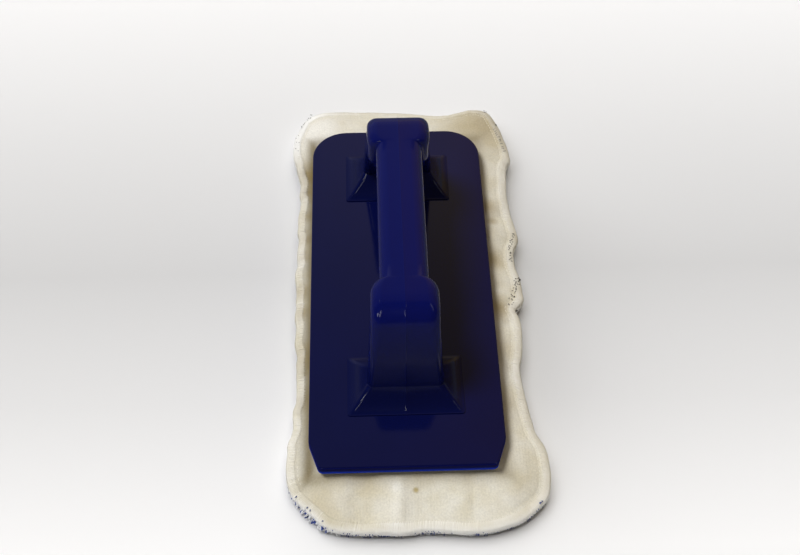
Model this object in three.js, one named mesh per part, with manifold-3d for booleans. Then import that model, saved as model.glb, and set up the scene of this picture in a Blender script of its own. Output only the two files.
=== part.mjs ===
// Hand pad holder: a plastic plate with a bow handle, and a soft cleaning pad that clings to it by hook tape.
// Millimetres, +Z up, +X to the right and +Y to the rear. The origin is on the floor under the plate's middle.

import * as THREE from "three";
import { mergeVertices } from "three/addons/utils/BufferGeometryUtils.js";
import Module from "manifold-3d";

const { clamp, lerp } = THREE.MathUtils;
const QUARTER = Math.PI / 2;

// Driving dimensions

// Base plate: a slab with two round rear corners and two cut front corners.
const PLATE_WIDTH = 100;
const PLATE_LENGTH = 230;
const PLATE_THICKNESS = 6;
const PLATE_REAR_RADIUS = 20;
const PLATE_CUT_WIDTH = 5.2; // of a cut front corner, across the plate
const PLATE_CUT_LENGTH = 15.2; // and along it
const PLATE_CUT_ROUND = 2; // run of the rounding at each end of a cut
const PLATE_EDGE_RADIUS = 1.2;

// Bow handle: two flared feet, two leaning legs, and a grip between two wider heads.
const HANDLE_SHIFT = 4.5; // from the plate's middle to the rear
const HANDLE_HEIGHT = 60;
const LEGS_LENGTH = 159; // over both legs, just above their skirts
const LEG_THICKNESS = 14.5;
const LEG_WIDTH = 39.3; // just above the skirt
const LEG_LEAN = 0.24; // run over rise, inwards
const SKIRT_REACH = 10.5; // how far a foot flares out past its leg
const SKIRT_HEIGHT = 11.5;
const SKIRT_LIP = 0.8; // upright edge of the skirt
const SKIRT_SLOPE = 0.6; // share of the flare that is a plain slope, which leaves a crease under the leg
const SKIRT_CORNER_RADIUS = 1.4;
const HEAD_WIDTH = 34.5;
const HEAD_FLAT = 11.2; // level top of a head, from its notch to the outer rounding
const SHOULDER_RUN = 8; // from the notch to the head's full width
const GRIP_WIDTH = 25;
const GRIP_DEPTH = 23; // from the top of the grip to its underside
const BOW_RADIUS = 14; // outside the bow, over each leg
const GAP_RADIUS = 12; // inside the bow
const SECTION_RADIUS = 6.5; // along the edges of legs and grip
const SEAM_HEIGHT = 0.35; // mould line on the middle plane
const SEAM_WIDTH = 1.2;

// Countersunk screws, up through the plate into the legs.
const SCREW_SPACING = 22; // across a leg
const SCREW_LENGTH = 20;
const SCREW_RADIUS = 1.8;
const SCREW_HEAD_RADIUS = 3.8;
const SCREW_HEAD_HEIGHT = 2.2;
const SCREW_TIP_LENGTH = 3;
const SCREW_SINK = 0.2; // of the head below the plate's underside
const SCREW_CLEARANCE = 0.3;

// Hook tape on the underside of the plate: two strips side by side.
const TAPE_WIDTH = 38;
const TAPE_THICKNESS = 2;
const TAPE_SPLIT = 6; // between the strips
const TAPE_END_MARGIN = 12.5; // from the plate's ends
const TAPE_CORNER_RADIUS = 4;

// Cleaning pad: pile, wadding and loop-cloth backing, closed by an overlocked hem.
const PAD_WIDTH = 136;
const PAD_LENGTH = 292;
const PAD_SHIFT_X = 4.8; // it reaches out further on the right than on the left
const PAD_SHIFT_Y = 1.2;
const PILE_HEIGHT = 9;
const PILE_RIM_HEIGHT = 4.2;
const PILE_ROUND = 2.5; // at the pile's foot
const WADDING_THICKNESS = 3;
const WADDING_RIM_THICKNESS = 1;
const WADDING_INSET = 8; // it stops short of the rim
const BACKING_THICKNESS = 1.5;
const MARGIN = 14; // width of the sloping rim
const SEAM_INSET = 6; // of the line of stitches that holds the backing down
const SEAM_CHANNEL_WIDTH = 2.4;
const SEAM_CHANNEL_DEPTH = 0.8;
const HEM_LAP = 4; // of the stitches over the backing
const HEM_THICKNESS = 0.9;
const RIPPLE_HEIGHT = 0.8;
const RIPPLE_COUNT = 12; // round the rim

const LAYER_GAP = 0.2; // between pieces that lie on each other

// The pad's rim as it lies, in shares of half its width and length, anticlockwise from the front.
const PAD_RIM_SHARES = [
  [-0.08, -1], [0.43, -0.99], [0.76, -0.955], [0.965, -0.87], [1, -0.76], [0.915, -0.615], [0.855, -0.43],
  [0.9, -0.2], [0.86, -0.075], [0.92, 0.02], [0.89, 0.135], [0.94, 0.265], [0.9, 0.4], [0.91, 0.57],
  [0.97, 0.695], [0.94, 0.815], [0.865, 0.935], [0.74, 0.995], [0.59, 0.99], [0.36, 0.965], [-0.02, 0.985],
  [-0.61, 1], [-0.83, 0.965], [-0.965, 0.87], [-0.99, 0.755], [-0.925, 0.565], [-0.945, 0.34], [-0.945, 0.05],
  [-0.925, -0.28], [-0.935, -0.5], [-0.98, -0.68], [-0.985, -0.8], [-0.9, -0.89], [-0.72, -0.955],
  [-0.43, -0.985],
];
const RIM_STEPS = 84;

// Materials

const handlePlastic = new THREE.MeshStandardMaterial({ color: 0x14185a, roughness: 0.32, metalness: 0 });
const platePlastic = new THREE.MeshStandardMaterial({ color: 0x17194f, roughness: 0.42, metalness: 0 });
const zincSteel = new THREE.MeshStandardMaterial({ color: 0xb4b6b8, roughness: 0.35, metalness: 1 });
const hookTape = new THREE.MeshStandardMaterial({ color: 0x1c1c20, roughness: 0.9, metalness: 0 });
const loopCloth = new THREE.MeshStandardMaterial({ color: 0xe2dcc8, roughness: 0.95, metalness: 0 });
const whiteWadding = new THREE.MeshStandardMaterial({ color: 0xf2f0e8, roughness: 1, metalness: 0 });
const cleaningPile = new THREE.MeshStandardMaterial({ color: 0xcfd6e4, roughness: 1, metalness: 0 });
const hemThread = new THREE.MeshStandardMaterial({ color: 0xe8e1cc, roughness: 0.9, metalness: 0 });

// Solids and cuts

const wasm = await Module();
wasm.setup();

function solidOf(geometry) {
  const bare = geometry.clone();
  bare.deleteAttribute("normal");
  bare.deleteAttribute("uv");
  const merged = mergeVertices(bare, 1e-4);
  const vertProperties = merged.attributes.position.array;
  const triVerts = new Uint32Array(merged.index.array);
  return new wasm.Manifold(new wasm.Mesh({ numProp: 3, vertProperties, triVerts }));
}

function cut(geometry, tools) {
  const solid = tools.reduce((left, tool) => left.subtract(solidOf(tool)), solidOf(geometry));
  const { vertProperties, triVerts } = solid.getMesh();
  const result = new THREE.BufferGeometry();
  result.setAttribute("position", new THREE.BufferAttribute(vertProperties, 3));
  result.setIndex(new THREE.BufferAttribute(triVerts, 1));
  result.computeVertexNormals();
  return result;
}

// Triangles over a flat ring, facing up or down.
function capTriangles(ring, up) {
  const flat = ring.map((point) => new THREE.Vector2(point.x, point.y));
  return THREE.ShapeUtils.triangulateShape(flat, []).map(([a, b, c]) => {
    const turn = flat[b].clone().sub(flat[a]).cross(flat[c].clone().sub(flat[a]));
    return turn > 0 === up ? [a, b, c] : [a, c, b];
  });
}

// Skin over rings of equally many points, each anticlockwise as seen from the next ring.
// Flat caps close the first and last rings, or else the last ring joins the first.
function skin(rings, caps) {
  const count = rings[0].length;
  const triangles = [];
  const spans = caps ? rings.length - 1 : rings.length;
  for (let ring = 0; ring < spans; ring++) {
    const low = ring * count;
    const high = ((ring + 1) % rings.length) * count;
    for (let i = 0; i < count; i++) {
      const j = (i + 1) % count;
      triangles.push(low + i, low + j, high + j, low + i, high + j, high + i);
    }
  }
  if (caps) {
    const last = (rings.length - 1) * count;
    triangles.push(...capTriangles(rings[0], caps.firstUp).flat());
    triangles.push(...capTriangles(rings.at(-1), caps.lastUp).flat().map((i) => i + last));
  }
  const geometry = new THREE.BufferGeometry().setFromPoints(rings.flat());
  geometry.setIndex(triangles);
  geometry.computeVertexNormals();
  return geometry;
}

function addPiece(group, name, geometry, material, x = 0, y = 0, z = 0) {
  const piece = new THREE.Mesh(geometry, material);
  piece.name = name;
  piece.position.set(x, y, z);
  group.add(piece);
}

// Heights from the floor up

const TAPE_Z = PILE_HEIGHT + WADDING_THICKNESS + BACKING_THICKNESS + 3 * LAYER_GAP;
const PLATE_Z = TAPE_Z + TAPE_THICKNESS + LAYER_GAP;
const HANDLE_Z = PLATE_Z + PLATE_THICKNESS + LAYER_GAP;

const holder = new THREE.Group();
const bow = new THREE.Group();
bow.position.set(0, HANDLE_SHIFT, HANDLE_Z);
holder.add(bow);

// Screws: a pair under each leg

const LEG_OUTSIDE = LEGS_LENGTH / 2;
const LEG_INSIDE = LEG_OUTSIDE - LEG_THICKNESS;
const SCREW_Y = (LEG_OUTSIDE + LEG_INSIDE) / 2;
const SCREW_SIDES = 16;

// Screw pointing up from the middle of its head, or with a clearance the hole that it needs.
function screwForm(clearance) {
  const foot = clearance > 0 ? -SCREW_SINK - clearance : 0;
  const profile = [
    [0, foot],
    [SCREW_HEAD_RADIUS + clearance, foot],
    [SCREW_HEAD_RADIUS + clearance, clearance],
    [SCREW_RADIUS + clearance, SCREW_HEAD_HEIGHT + clearance],
    [SCREW_RADIUS + clearance, SCREW_LENGTH - SCREW_TIP_LENGTH + clearance],
    [0, SCREW_LENGTH + clearance],
  ];
  const points = profile.map(([radius, z]) => new THREE.Vector2(radius, z));
  return new THREE.LatheGeometry(points, SCREW_SIDES).rotateX(QUARTER);
}

const screwPlaces = [];
for (const [end, y] of [["front", -SCREW_Y], ["rear", SCREW_Y]]) {
  for (const [side, x] of [["left", -SCREW_SPACING / 2], ["right", SCREW_SPACING / 2]]) {
    screwPlaces.push({ name: `${end}_${side}_screw`, x, y });
  }
}

const screwZ = SCREW_SINK - PLATE_THICKNESS - LAYER_GAP; // below the foot of the handle
for (const { name, x, y } of screwPlaces) {
  addPiece(bow, name, screwForm(0), zincSteel, x, y, screwZ);
}

function screwHoles(shiftY, z) {
  return screwPlaces.map(({ x, y }) => screwForm(SCREW_CLEARANCE).translate(x, y + shiftY, z));
}

// Base plate

function plateOutline() {
  const right = PLATE_WIDTH / 2 - PLATE_EDGE_RADIUS;
  const rear = PLATE_LENGTH / 2 - PLATE_EDGE_RADIUS;
  const round = PLATE_REAR_RADIUS - PLATE_EDGE_RADIUS;
  const cutX = right - PLATE_CUT_WIDTH;
  const cutY = -rear + PLATE_CUT_LENGTH;
  const share = PLATE_CUT_ROUND / Math.hypot(PLATE_CUT_WIDTH, PLATE_CUT_LENGTH);
  const nearX = cutX + share * PLATE_CUT_WIDTH;
  const nearY = -rear + share * PLATE_CUT_LENGTH;
  const farX = right - share * PLATE_CUT_WIDTH;
  const farY = cutY - share * PLATE_CUT_LENGTH;
  return new THREE.Shape()
    .moveTo(-cutX + PLATE_CUT_ROUND, -rear)
    .lineTo(cutX - PLATE_CUT_ROUND, -rear)
    .quadraticCurveTo(cutX, -rear, nearX, nearY)
    .lineTo(farX, farY)
    .quadraticCurveTo(right, cutY, right, cutY + PLATE_CUT_ROUND)
    .lineTo(right, rear - round)
    .absarc(right - round, rear - round, round, 0, QUARTER)
    .lineTo(-right + round, rear)
    .absarc(-right + round, rear - round, round, QUARTER, 2 * QUARTER)
    .lineTo(-right, cutY + PLATE_CUT_ROUND)
    .quadraticCurveTo(-right, cutY, -farX, farY)
    .lineTo(-nearX, nearY)
    .quadraticCurveTo(-cutX, -rear, -cutX + PLATE_CUT_ROUND, -rear);
}

const slab = new THREE.ExtrudeGeometry(plateOutline(), {
  depth: PLATE_THICKNESS - 2 * PLATE_EDGE_RADIUS,
  bevelThickness: PLATE_EDGE_RADIUS,
  bevelSize: PLATE_EDGE_RADIUS,
  bevelSegments: 3,
  curveSegments: 10,
}).translate(0, 0, PLATE_EDGE_RADIUS);
addPiece(holder, "base_plate", cut(slab, screwHoles(HANDLE_SHIFT, SCREW_SINK)), platePlastic, 0, 0, PLATE_Z);

// Hook tape strips

function tapeOutline() {
  const right = TAPE_WIDTH / 2;
  const rear = PLATE_LENGTH / 2 - TAPE_END_MARGIN;
  const round = TAPE_CORNER_RADIUS;
  return new THREE.Shape()
    .moveTo(-right + round, -rear)
    .absarc(right - round, -rear + round, round, -QUARTER, 0)
    .absarc(right - round, rear - round, round, 0, QUARTER)
    .absarc(-right + round, rear - round, round, QUARTER, 2 * QUARTER)
    .absarc(-right + round, -rear + round, round, 2 * QUARTER, 3 * QUARTER);
}

const tapeX = (TAPE_WIDTH + TAPE_SPLIT) / 2;
for (const [side, x] of [["left", -tapeX], ["right", tapeX]]) {
  const form = { depth: TAPE_THICKNESS, bevelEnabled: false, curveSegments: 4 };
  addPiece(holder, `${side}_hook_tape`, new THREE.ExtrudeGeometry(tapeOutline(), form), hookTape, x, 0, TAPE_Z);
}

// Bow handle: a skin over ribs, each a rounded section between the inside and the outside of the bow

const LEAN_ANGLE = Math.atan(LEG_LEAN);
const GRIP_UNDERSIDE = HANDLE_HEIGHT - GRIP_DEPTH;

// Distance of a leg's face from the handle's middle, at a height.
const leaning = (base, z) => base - LEG_LEAN * (z - SKIRT_HEIGHT);

// Arc that rounds a leg's face into a level face, as a function of its angle above the level.
function bowArc(base, levelZ, radius) {
  const z = levelZ - radius;
  const y = leaning(base, z + radius * Math.sin(LEAN_ANGLE)) - radius * Math.cos(LEAN_ANGLE);
  return (angle) => [y + radius * Math.cos(angle), z + radius * Math.sin(angle)];
}

const outsideArc = bowArc(LEG_OUTSIDE, HANDLE_HEIGHT, BOW_RADIUS);
const insideArc = bowArc(LEG_INSIDE, GRIP_UNDERSIDE, GAP_RADIUS);
const SHOULDER_START = outsideArc(QUARTER)[0] - HEAD_FLAT;
const SHOULDER_END = SHOULDER_START + SHOULDER_RUN;

// How far the skirt flares out at a height: a slope that hollows into a quarter round and ends on the lip.
function skirtFlare(z) {
  const share = clamp((SKIRT_HEIGHT - z) / (SKIRT_HEIGHT - SKIRT_LIP), 0, 1);
  return SKIRT_REACH * lerp(1 - Math.sqrt(1 - share * share), share, SKIRT_SLOPE);
}

// Half the handle's width at a place: grip, shoulder, head, and a leg that widens to its skirt.
function halfWidth(y, z) {
  const before = clamp((SHOULDER_END - Math.abs(y)) / SHOULDER_RUN, 0, 1);
  const shoulder = Math.sqrt(1 - before * before);
  const headFoot = HANDLE_HEIGHT - BOW_RADIUS;
  const below = clamp((headFoot - z) / (headFoot - SKIRT_HEIGHT), 0, 1);
  const outer = lerp(HEAD_WIDTH, LEG_WIDTH, below) / 2;
  return lerp(GRIP_WIDTH / 2, outer, shoulder) + skirtFlare(z);
}

const FLARE_STEPS = 6;
const LEG_STEPS = 3;
const BOW_STEPS = 7;
const SHOULDER_STEPS = 6;

// Ribs of the rear half, from the foot to the middle of the grip, as pairs of inside and outside points.
function halfRibs() {
  const ribs = [];
  const addLevelRib = (z) => ribs.push([[LEG_INSIDE - skirtFlare(z), z], [LEG_OUTSIDE + skirtFlare(z), z]]);
  addLevelRib(0);
  for (let i = 0; i < FLARE_STEPS; i++) {
    addLevelRib(lerp(SKIRT_HEIGHT, SKIRT_LIP, Math.cos((QUARTER * i) / FLARE_STEPS)));
  }
  addLevelRib(SKIRT_HEIGHT);

  const insideTop = insideArc(LEAN_ANGLE)[1];
  const outsideTop = outsideArc(LEAN_ANGLE)[1];
  for (let i = 1; i <= LEG_STEPS; i++) {
    const insideZ = lerp(SKIRT_HEIGHT, insideTop, i / LEG_STEPS);
    const outsideZ = lerp(SKIRT_HEIGHT, outsideTop, i / LEG_STEPS);
    ribs.push([[leaning(LEG_INSIDE, insideZ), insideZ], [leaning(LEG_OUTSIDE, outsideZ), outsideZ]]);
  }

  const insideMiddle = insideArc(QUARTER)[0];
  const insideShare = clamp((SHOULDER_END - insideMiddle) / GAP_RADIUS, 0, Math.cos(LEAN_ANGLE));
  for (let i = 1; i <= BOW_STEPS; i++) {
    const insideAngle = lerp(LEAN_ANGLE, Math.acos(insideShare), i / BOW_STEPS);
    ribs.push([insideArc(insideAngle), outsideArc(lerp(LEAN_ANGLE, QUARTER, i / BOW_STEPS))]);
  }

  for (let i = 0; i <= SHOULDER_STEPS; i++) {
    const y = SHOULDER_START + SHOULDER_RUN * Math.cos((QUARTER * i) / SHOULDER_STEPS);
    const past = clamp((y - insideMiddle) / GAP_RADIUS, 0, 1);
    const underside = GRIP_UNDERSIDE - GAP_RADIUS * (1 - Math.sqrt(1 - past * past));
    ribs.push([[y, underside], [y, HANDLE_HEIGHT]]);
  }
  ribs.push([[0, GRIP_UNDERSIDE], [0, HANDLE_HEIGHT]]);
  return ribs;
}

const CORNER_STEPS = 5;

// Rounded section on one rib. The mould line stands proud in the middle of its outside.
function ribSection([[insideY, insideZ], [outsideY, outsideZ]]) {
  const length = Math.hypot(outsideY - insideY, outsideZ - insideZ);
  const fullRadius = lerp(SKIRT_CORNER_RADIUS, SECTION_RADIUS, clamp(insideZ / SKIRT_HEIGHT, 0, 1));
  const radius = Math.min(fullRadius, length / 2);
  const points = [];
  const addPoint = (x, out) => {
    const share = out / length;
    points.push(new THREE.Vector3(x, lerp(insideY, outsideY, share), lerp(insideZ, outsideZ, share)));
  };
  const addCorner = (side, isOutside, from, to) => {
    for (let i = 0; i <= CORNER_STEPS; i++) {
      const angle = lerp(from, to, i / CORNER_STEPS);
      const drop = radius * (1 - Math.sin(angle));
      const out = isOutside ? length - drop : drop;
      const wall = halfWidth(lerp(insideY, outsideY, out / length), lerp(insideZ, outsideZ, out / length));
      addPoint(side * (wall - radius * (1 - Math.cos(angle))), out);
    }
  };
  addCorner(1, false, 0, QUARTER);
  addCorner(-1, false, QUARTER, 0);
  addCorner(-1, true, 0, QUARTER);
  addPoint(-SEAM_WIDTH / 2, length);
  addPoint(0, length + SEAM_HEIGHT);
  addPoint(SEAM_WIDTH / 2, length);
  addCorner(1, true, QUARTER, 0);
  return points;
}

const rearRibs = halfRibs();
const frontRibs = rearRibs.map((rib) => rib.map(([y, z]) => [-y, z]));
const bowRings = [...frontRibs, ...rearRibs.slice(0, -1).reverse()].map(ribSection);
const bowForm = skin(bowRings, { firstUp: false, lastUp: false });
addPiece(bow, "handle", cut(bowForm, screwHoles(0, screwZ)), handlePlastic);

// Cleaning pad: closed layers, each a skin over rings that follow the rim at a distance inside it

const pad = new THREE.Group();
pad.position.set(PAD_SHIFT_X, PAD_SHIFT_Y, 0);

const rimCurve = new THREE.CatmullRomCurve3(
  PAD_RIM_SHARES.map(([x, y]) => new THREE.Vector3((x * PAD_WIDTH) / 2, (y * PAD_LENGTH) / 2, 0)),
  true,
);
const rimPlaces = rimCurve.getSpacedPoints(RIM_STEPS).slice(0, RIM_STEPS);

// The rim ripples, and what lies on the floor stays flat.
function padRing([inset, z]) {
  const ripple = z > 0 ? RIPPLE_HEIGHT * (1 - inset / MARGIN) ** 2 : 0;
  return rimPlaces.map((place, i) => {
    const x = place.x * (1 - (2 * inset) / PAD_WIDTH);
    const y = place.y * (1 - (2 * inset) / PAD_LENGTH);
    return new THREE.Vector3(x, y, z + ripple * Math.cos((4 * QUARTER * RIPPLE_COUNT * i) / RIM_STEPS));
  });
}

const CLOTH_INSET = HEM_THICKNESS + LAYER_GAP; // the layers stop inside the hem
const waddingInsets = [WADDING_INSET, (WADDING_INSET + MARGIN) / 2, MARGIN];
const rimInsets = [CLOTH_INSET, (CLOTH_INSET + WADDING_INSET) / 2, ...waddingInsets];

// Heights of the layers at a distance inside the rim.
const pileTop = (inset) => lerp(PILE_HEIGHT, PILE_RIM_HEIGHT, (1 - inset / MARGIN) ** 2);
const waddingFoot = (inset) => pileTop(inset) + LAYER_GAP;
const waddingTop = (inset) => {
  const share = (inset - WADDING_INSET) / (MARGIN - WADDING_INSET);
  return waddingFoot(inset) + lerp(WADDING_RIM_THICKNESS, WADDING_THICKNESS, share);
};
const backingFoot = (inset) => {
  if (inset >= WADDING_INSET) return waddingTop(inset) + LAYER_GAP;
  const share = (inset - CLOTH_INSET) / (WADDING_INSET - CLOTH_INSET);
  return lerp(pileTop(CLOTH_INSET), waddingTop(WADDING_INSET), share) + LAYER_GAP;
};
const backingTop = (inset) => backingFoot(inset) + BACKING_THICKNESS;
const hemFoot = (inset) => backingTop(inset) + LAYER_GAP;

const closedLayer = (rings) => skin(rings.map(padRing), { firstUp: false, lastUp: true });

const pileRings = [
  [MARGIN, 0],
  [CLOTH_INSET + PILE_ROUND, 0],
  [CLOTH_INSET, PILE_ROUND],
  ...rimInsets.map((inset) => [inset, pileTop(inset)]),
];
addPiece(pad, "pile", closedLayer(pileRings), cleaningPile);

const waddingRings = [
  ...waddingInsets.toReversed().map((inset) => [inset, waddingFoot(inset)]),
  ...waddingInsets.map((inset) => [inset, waddingTop(inset)]),
];
addPiece(pad, "wadding", closedLayer(waddingRings), whiteWadding);

const seamSides = [SEAM_INSET - SEAM_CHANNEL_WIDTH / 2, SEAM_INSET + SEAM_CHANNEL_WIDTH / 2];
const backingRings = [
  ...rimInsets.toReversed().map((inset) => [inset, backingFoot(inset)]),
  [CLOTH_INSET, backingTop(CLOTH_INSET)],
  [HEM_LAP, backingTop(HEM_LAP)],
  [seamSides[0], backingTop(seamSides[0])],
  [SEAM_INSET, backingTop(SEAM_INSET) - SEAM_CHANNEL_DEPTH],
  [seamSides[1], backingTop(seamSides[1])],
  ...waddingInsets.map((inset) => [inset, backingTop(inset)]),
];
addPiece(pad, "backing", closedLayer(backingRings), loopCloth);

// Overlocked hem: stitches that lap over the backing and wrap the rim.
const hemSection = [
  [0, PILE_ROUND + HEM_THICKNESS],
  [0, hemFoot(CLOTH_INSET) - HEM_THICKNESS],
  [CLOTH_INSET, hemFoot(CLOTH_INSET) + HEM_THICKNESS],
  [HEM_LAP, hemFoot(HEM_LAP) + HEM_THICKNESS],
  [HEM_LAP, hemFoot(HEM_LAP)],
  [HEM_THICKNESS, hemFoot(CLOTH_INSET)],
  [HEM_THICKNESS, PILE_ROUND],
];
addPiece(pad, "overlock_hem", skin(hemSection.map(padRing), null), hemThread);

const padHolder = new THREE.Group();
padHolder.add(pad, holder);

export default padHolder;
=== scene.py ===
import math
import random

import bpy
import numpy as np
from mathutils import Matrix, Vector


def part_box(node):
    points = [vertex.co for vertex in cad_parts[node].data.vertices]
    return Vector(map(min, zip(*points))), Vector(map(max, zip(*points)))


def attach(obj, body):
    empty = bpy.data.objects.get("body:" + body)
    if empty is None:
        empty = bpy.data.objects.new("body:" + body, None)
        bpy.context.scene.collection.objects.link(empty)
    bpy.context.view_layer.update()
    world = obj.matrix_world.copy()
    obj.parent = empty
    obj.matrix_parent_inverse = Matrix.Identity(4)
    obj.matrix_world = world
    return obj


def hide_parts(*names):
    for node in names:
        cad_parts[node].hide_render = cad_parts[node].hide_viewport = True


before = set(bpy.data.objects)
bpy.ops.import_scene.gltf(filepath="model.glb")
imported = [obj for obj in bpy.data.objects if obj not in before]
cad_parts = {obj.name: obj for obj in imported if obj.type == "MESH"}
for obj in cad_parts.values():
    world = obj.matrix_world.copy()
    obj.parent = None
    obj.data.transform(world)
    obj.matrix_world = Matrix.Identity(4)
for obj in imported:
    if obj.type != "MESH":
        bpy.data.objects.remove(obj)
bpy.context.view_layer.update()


# Cleaning pile
# The working side of the pad: yarn loops tufted in rows through a thin ground cloth, white with a blue row
# now and then. The loops stand on the floor, and the outermost ones show below the pad's hem.

MM = 0.001

# Rim of the pad as it lies, in millimetres from the plate's middle, anticlockwise from the front.
RIM_POINTS = [
    (-1, -142.8), (8, -141.6), (17, -142.3), (26, -143.2), (34.5, -143.2), (47, -141.4), (57, -137.2),
    (65, -131.4), (70.5, -125), (72.5, -117), (72.5, -107), (71, -98.5), (67, -89), (65, -77),
    (63.5, -64.5), (62.5, -52), (64.5, -41.5), (66, -27), (65.5, -18), (63.6, -12.4), (65.6, -9.4),
    (69, -5), (68.6, 2), (68, 11), (66.2, 19), (66, 27), (67, 32), (69.7, 38.5), (69, 45.5),
    (67.5, 55), (66, 70), (66.6, 84), (67.4, 94), (68.4, 97.6), (70.5, 100.4), (70.4, 105),
    (68.5, 117.5), (64.5, 132.5), (59, 143), (49, 145), (39, 142.5), (29.5, 140.5), (4, 143.5),
    (-21.5, 145), (-37.5, 145.5), (-48, 144), (-56, 138), (-60.5, 128), (-63, 116.5), (-62.5, 106.5),
    (-60, 96.5), (-58, 81.5), (-58, 69), (-59, 52), (-58.5, 34), (-59.5, 19.5), (-59, -0.5), (-59, -21),
    (-58, -41), (-57.5, -61), (-58.5, -72), (-59.5, -85.5), (-61.5, -97), (-62, -108.5), (-60.5, -117.5),
    (-55.5, -125.5), (-48, -132.5), (-40.5, -139.3), (-29, -141.8), (-15, -142.6),
]
RIM_STEP = 1.2
SPAN_STEPS = 16  # from one of these points to the next, before the rim is divided evenly
INWARD_SMOOTHING = 11  # steps along the rim over which its inward direction is evened out


def linear(code):
    """sRGB hex colour as linear red, green, blue and alpha."""
    parts = [int(code[i:i + 2], 16) / 255 for i in (1, 3, 5)]
    return [c / 12.92 if c <= 0.04045 else ((c + 0.055) / 1.055) ** 2.4 for c in parts] + [1.0]


def add_node(tree, kind, inputs, **settings):
    """Adds a shader node. Each input is a value, or the output that feeds it."""
    node = tree.nodes.new("ShaderNode" + kind)
    for name, value in settings.items():
        setattr(node, name, value)
    for name, value in inputs.items():
        if isinstance(value, bpy.types.NodeSocket):
            tree.links.new(value, node.inputs[name])
        else:
            node.inputs[name].default_value = value
    return node


def start_material(name, **sockets):
    """New material with a principled shader, whose plain sockets take the given values."""
    material = bpy.data.materials.new(name)
    material.use_nodes = True
    tree = material.node_tree
    shader = tree.nodes["Principled BSDF"]
    for socket, value in sockets.items():
        shader.inputs[socket.replace("_", " ")].default_value = value
    return material, tree, shader


def add_piece(name, points, faces, material, body, slot, sharp_angle=180):
    """New smooth piece from points in millimetres, riding on a body."""
    mesh = bpy.data.meshes.new(name)
    mesh.from_pydata((np.asarray(points) * MM).tolist(), [], faces)
    mesh.polygons.foreach_set("use_smooth", [True] * len(mesh.polygons))
    mesh.set_sharp_from_angle(angle=math.radians(sharp_angle))
    mesh.materials.append(material)
    piece = bpy.data.objects.new(name, mesh)
    bpy.context.scene.collection.objects.link(piece)
    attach(piece, body)
    return piece


def closed_curve(points, step):
    """Smooth closed line through points, sampled at an even step."""
    knots = np.array(points, float)
    before, after, beyond = (np.roll(knots, shift, axis=0) for shift in (1, -1, -2))
    spans = []
    for u in np.linspace(0, 1, SPAN_STEPS, endpoint=False):
        bend = 2 * before - 5 * knots + 4 * after - beyond
        twist = 3 * knots - before - 3 * after + beyond
        spans.append(0.5 * (2 * knots + (after - before) * u + bend * u ** 2 + twist * u ** 3))
    fine = np.stack(spans, axis=1).reshape(-1, 2)
    fine = np.vstack([fine, fine[:1]])
    travelled = np.concatenate([[0], np.cumsum(np.linalg.norm(np.diff(fine, axis=0), axis=1))])
    count = round(travelled[-1] / step)
    at = np.arange(count) * travelled[-1] / count
    return np.stack([np.interp(at, travelled, fine[:, k]) for k in (0, 1)], axis=1)


def smooth_round(values, reach):
    """Evens out values that run round a closed line."""
    offsets = np.arange(-2 * reach, 2 * reach + 1)
    weights = np.exp(-(offsets / reach) ** 2)
    return sum(w * np.roll(values, -o, axis=0) for o, w in zip(offsets, weights / weights.sum()))


def skin(rings, capped=True):
    """Points and faces of a skin over closed rings.

    Its two ends are closed flat, or else its last ring is joined to the first."""
    count = len(rings[0])
    turn = np.arange(count)
    after = (turn + 1) % count
    faces = []
    for r in range(len(rings) - 1 if capped else len(rings)):
        low, high = r * count, (r + 1) % len(rings) * count
        faces += np.stack([low + turn, low + after, high + after, high + turn], axis=1).tolist()
    if capped:
        faces.append(turn[::-1].tolist())
        faces.append(((len(rings) - 1) * count + turn).tolist())
    return np.concatenate(rings), faces


def tubes(paths, sides, radius, corners):
    """Points and faces of many tubes. Each path is flat, and its side is the direction across its plane."""
    paths = np.asarray(paths, float)
    count, steps, _ = paths.shape
    along = np.gradient(paths, axis=1)
    along /= np.linalg.norm(along, axis=2, keepdims=True)
    across = np.broadcast_to(np.asarray(sides, float)[:, None, :], paths.shape)
    out = np.cross(along, across)
    turn = 2 * math.pi * np.arange(corners) / corners
    wheel = np.cos(turn)[:, None] * out[:, :, None, :] + np.sin(turn)[:, None] * across[:, :, None, :]
    points = (paths[:, :, None, :] + radius * wheel).reshape(-1, 3)
    index = np.arange(count * steps * corners).reshape(count, steps, corners)
    after = np.roll(index, -1, axis=2)
    quads = np.stack([index[:, :-1], after[:, :-1], after[:, 1:], index[:, 1:]], axis=-1).reshape(-1, 4)
    caps = np.concatenate([index[:, 0, ::-1], index[:, -1, :]])
    return points, quads.tolist() + caps.tolist()


rim = closed_curve(RIM_POINTS, RIM_STEP)
rim_way = smooth_round(np.roll(rim, -1, axis=0) - np.roll(rim, 1, axis=0), INWARD_SMOOTHING)
rim_way /= np.linalg.norm(rim_way, axis=1, keepdims=True)
inward = np.stack([-rim_way[:, 1], rim_way[:, 0]], axis=1)

# The stitches pucker the rim, most of all on the left: number of small waves round the pad, and their height.
RIPPLES = [(37, 0.3), (52, 0.26), (79, 0.1), (113, 0.06)]
CALM_SHARE = 0.3  # of that height, where the rim isn't on the left
LEFT_FROM, LEFT_ENDS, LEFT_FADE = 40, 112, 12  # of the left side: across, along, and how it dies out
once_round = 2 * math.pi * np.arange(len(rim)) / len(rim)
ripple = sum(height * np.sin(count * once_round) for count, height in RIPPLES)
on_left = np.clip((-rim[:, 0] - LEFT_FROM) / LEFT_FADE, 0, 1)
on_left = on_left * np.clip((LEFT_ENDS - np.abs(rim[:, 1])) / LEFT_FADE, 0, 1)
rim = rim + (ripple * (CALM_SHARE + (1 - CALM_SHARE) * on_left))[:, None] * inward

MARGIN = 14  # width of the sloping rim
SPINE_X = 4.5  # middle line of the pad, towards which its inner rings shrink
SPINE_REACH = 88


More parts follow.
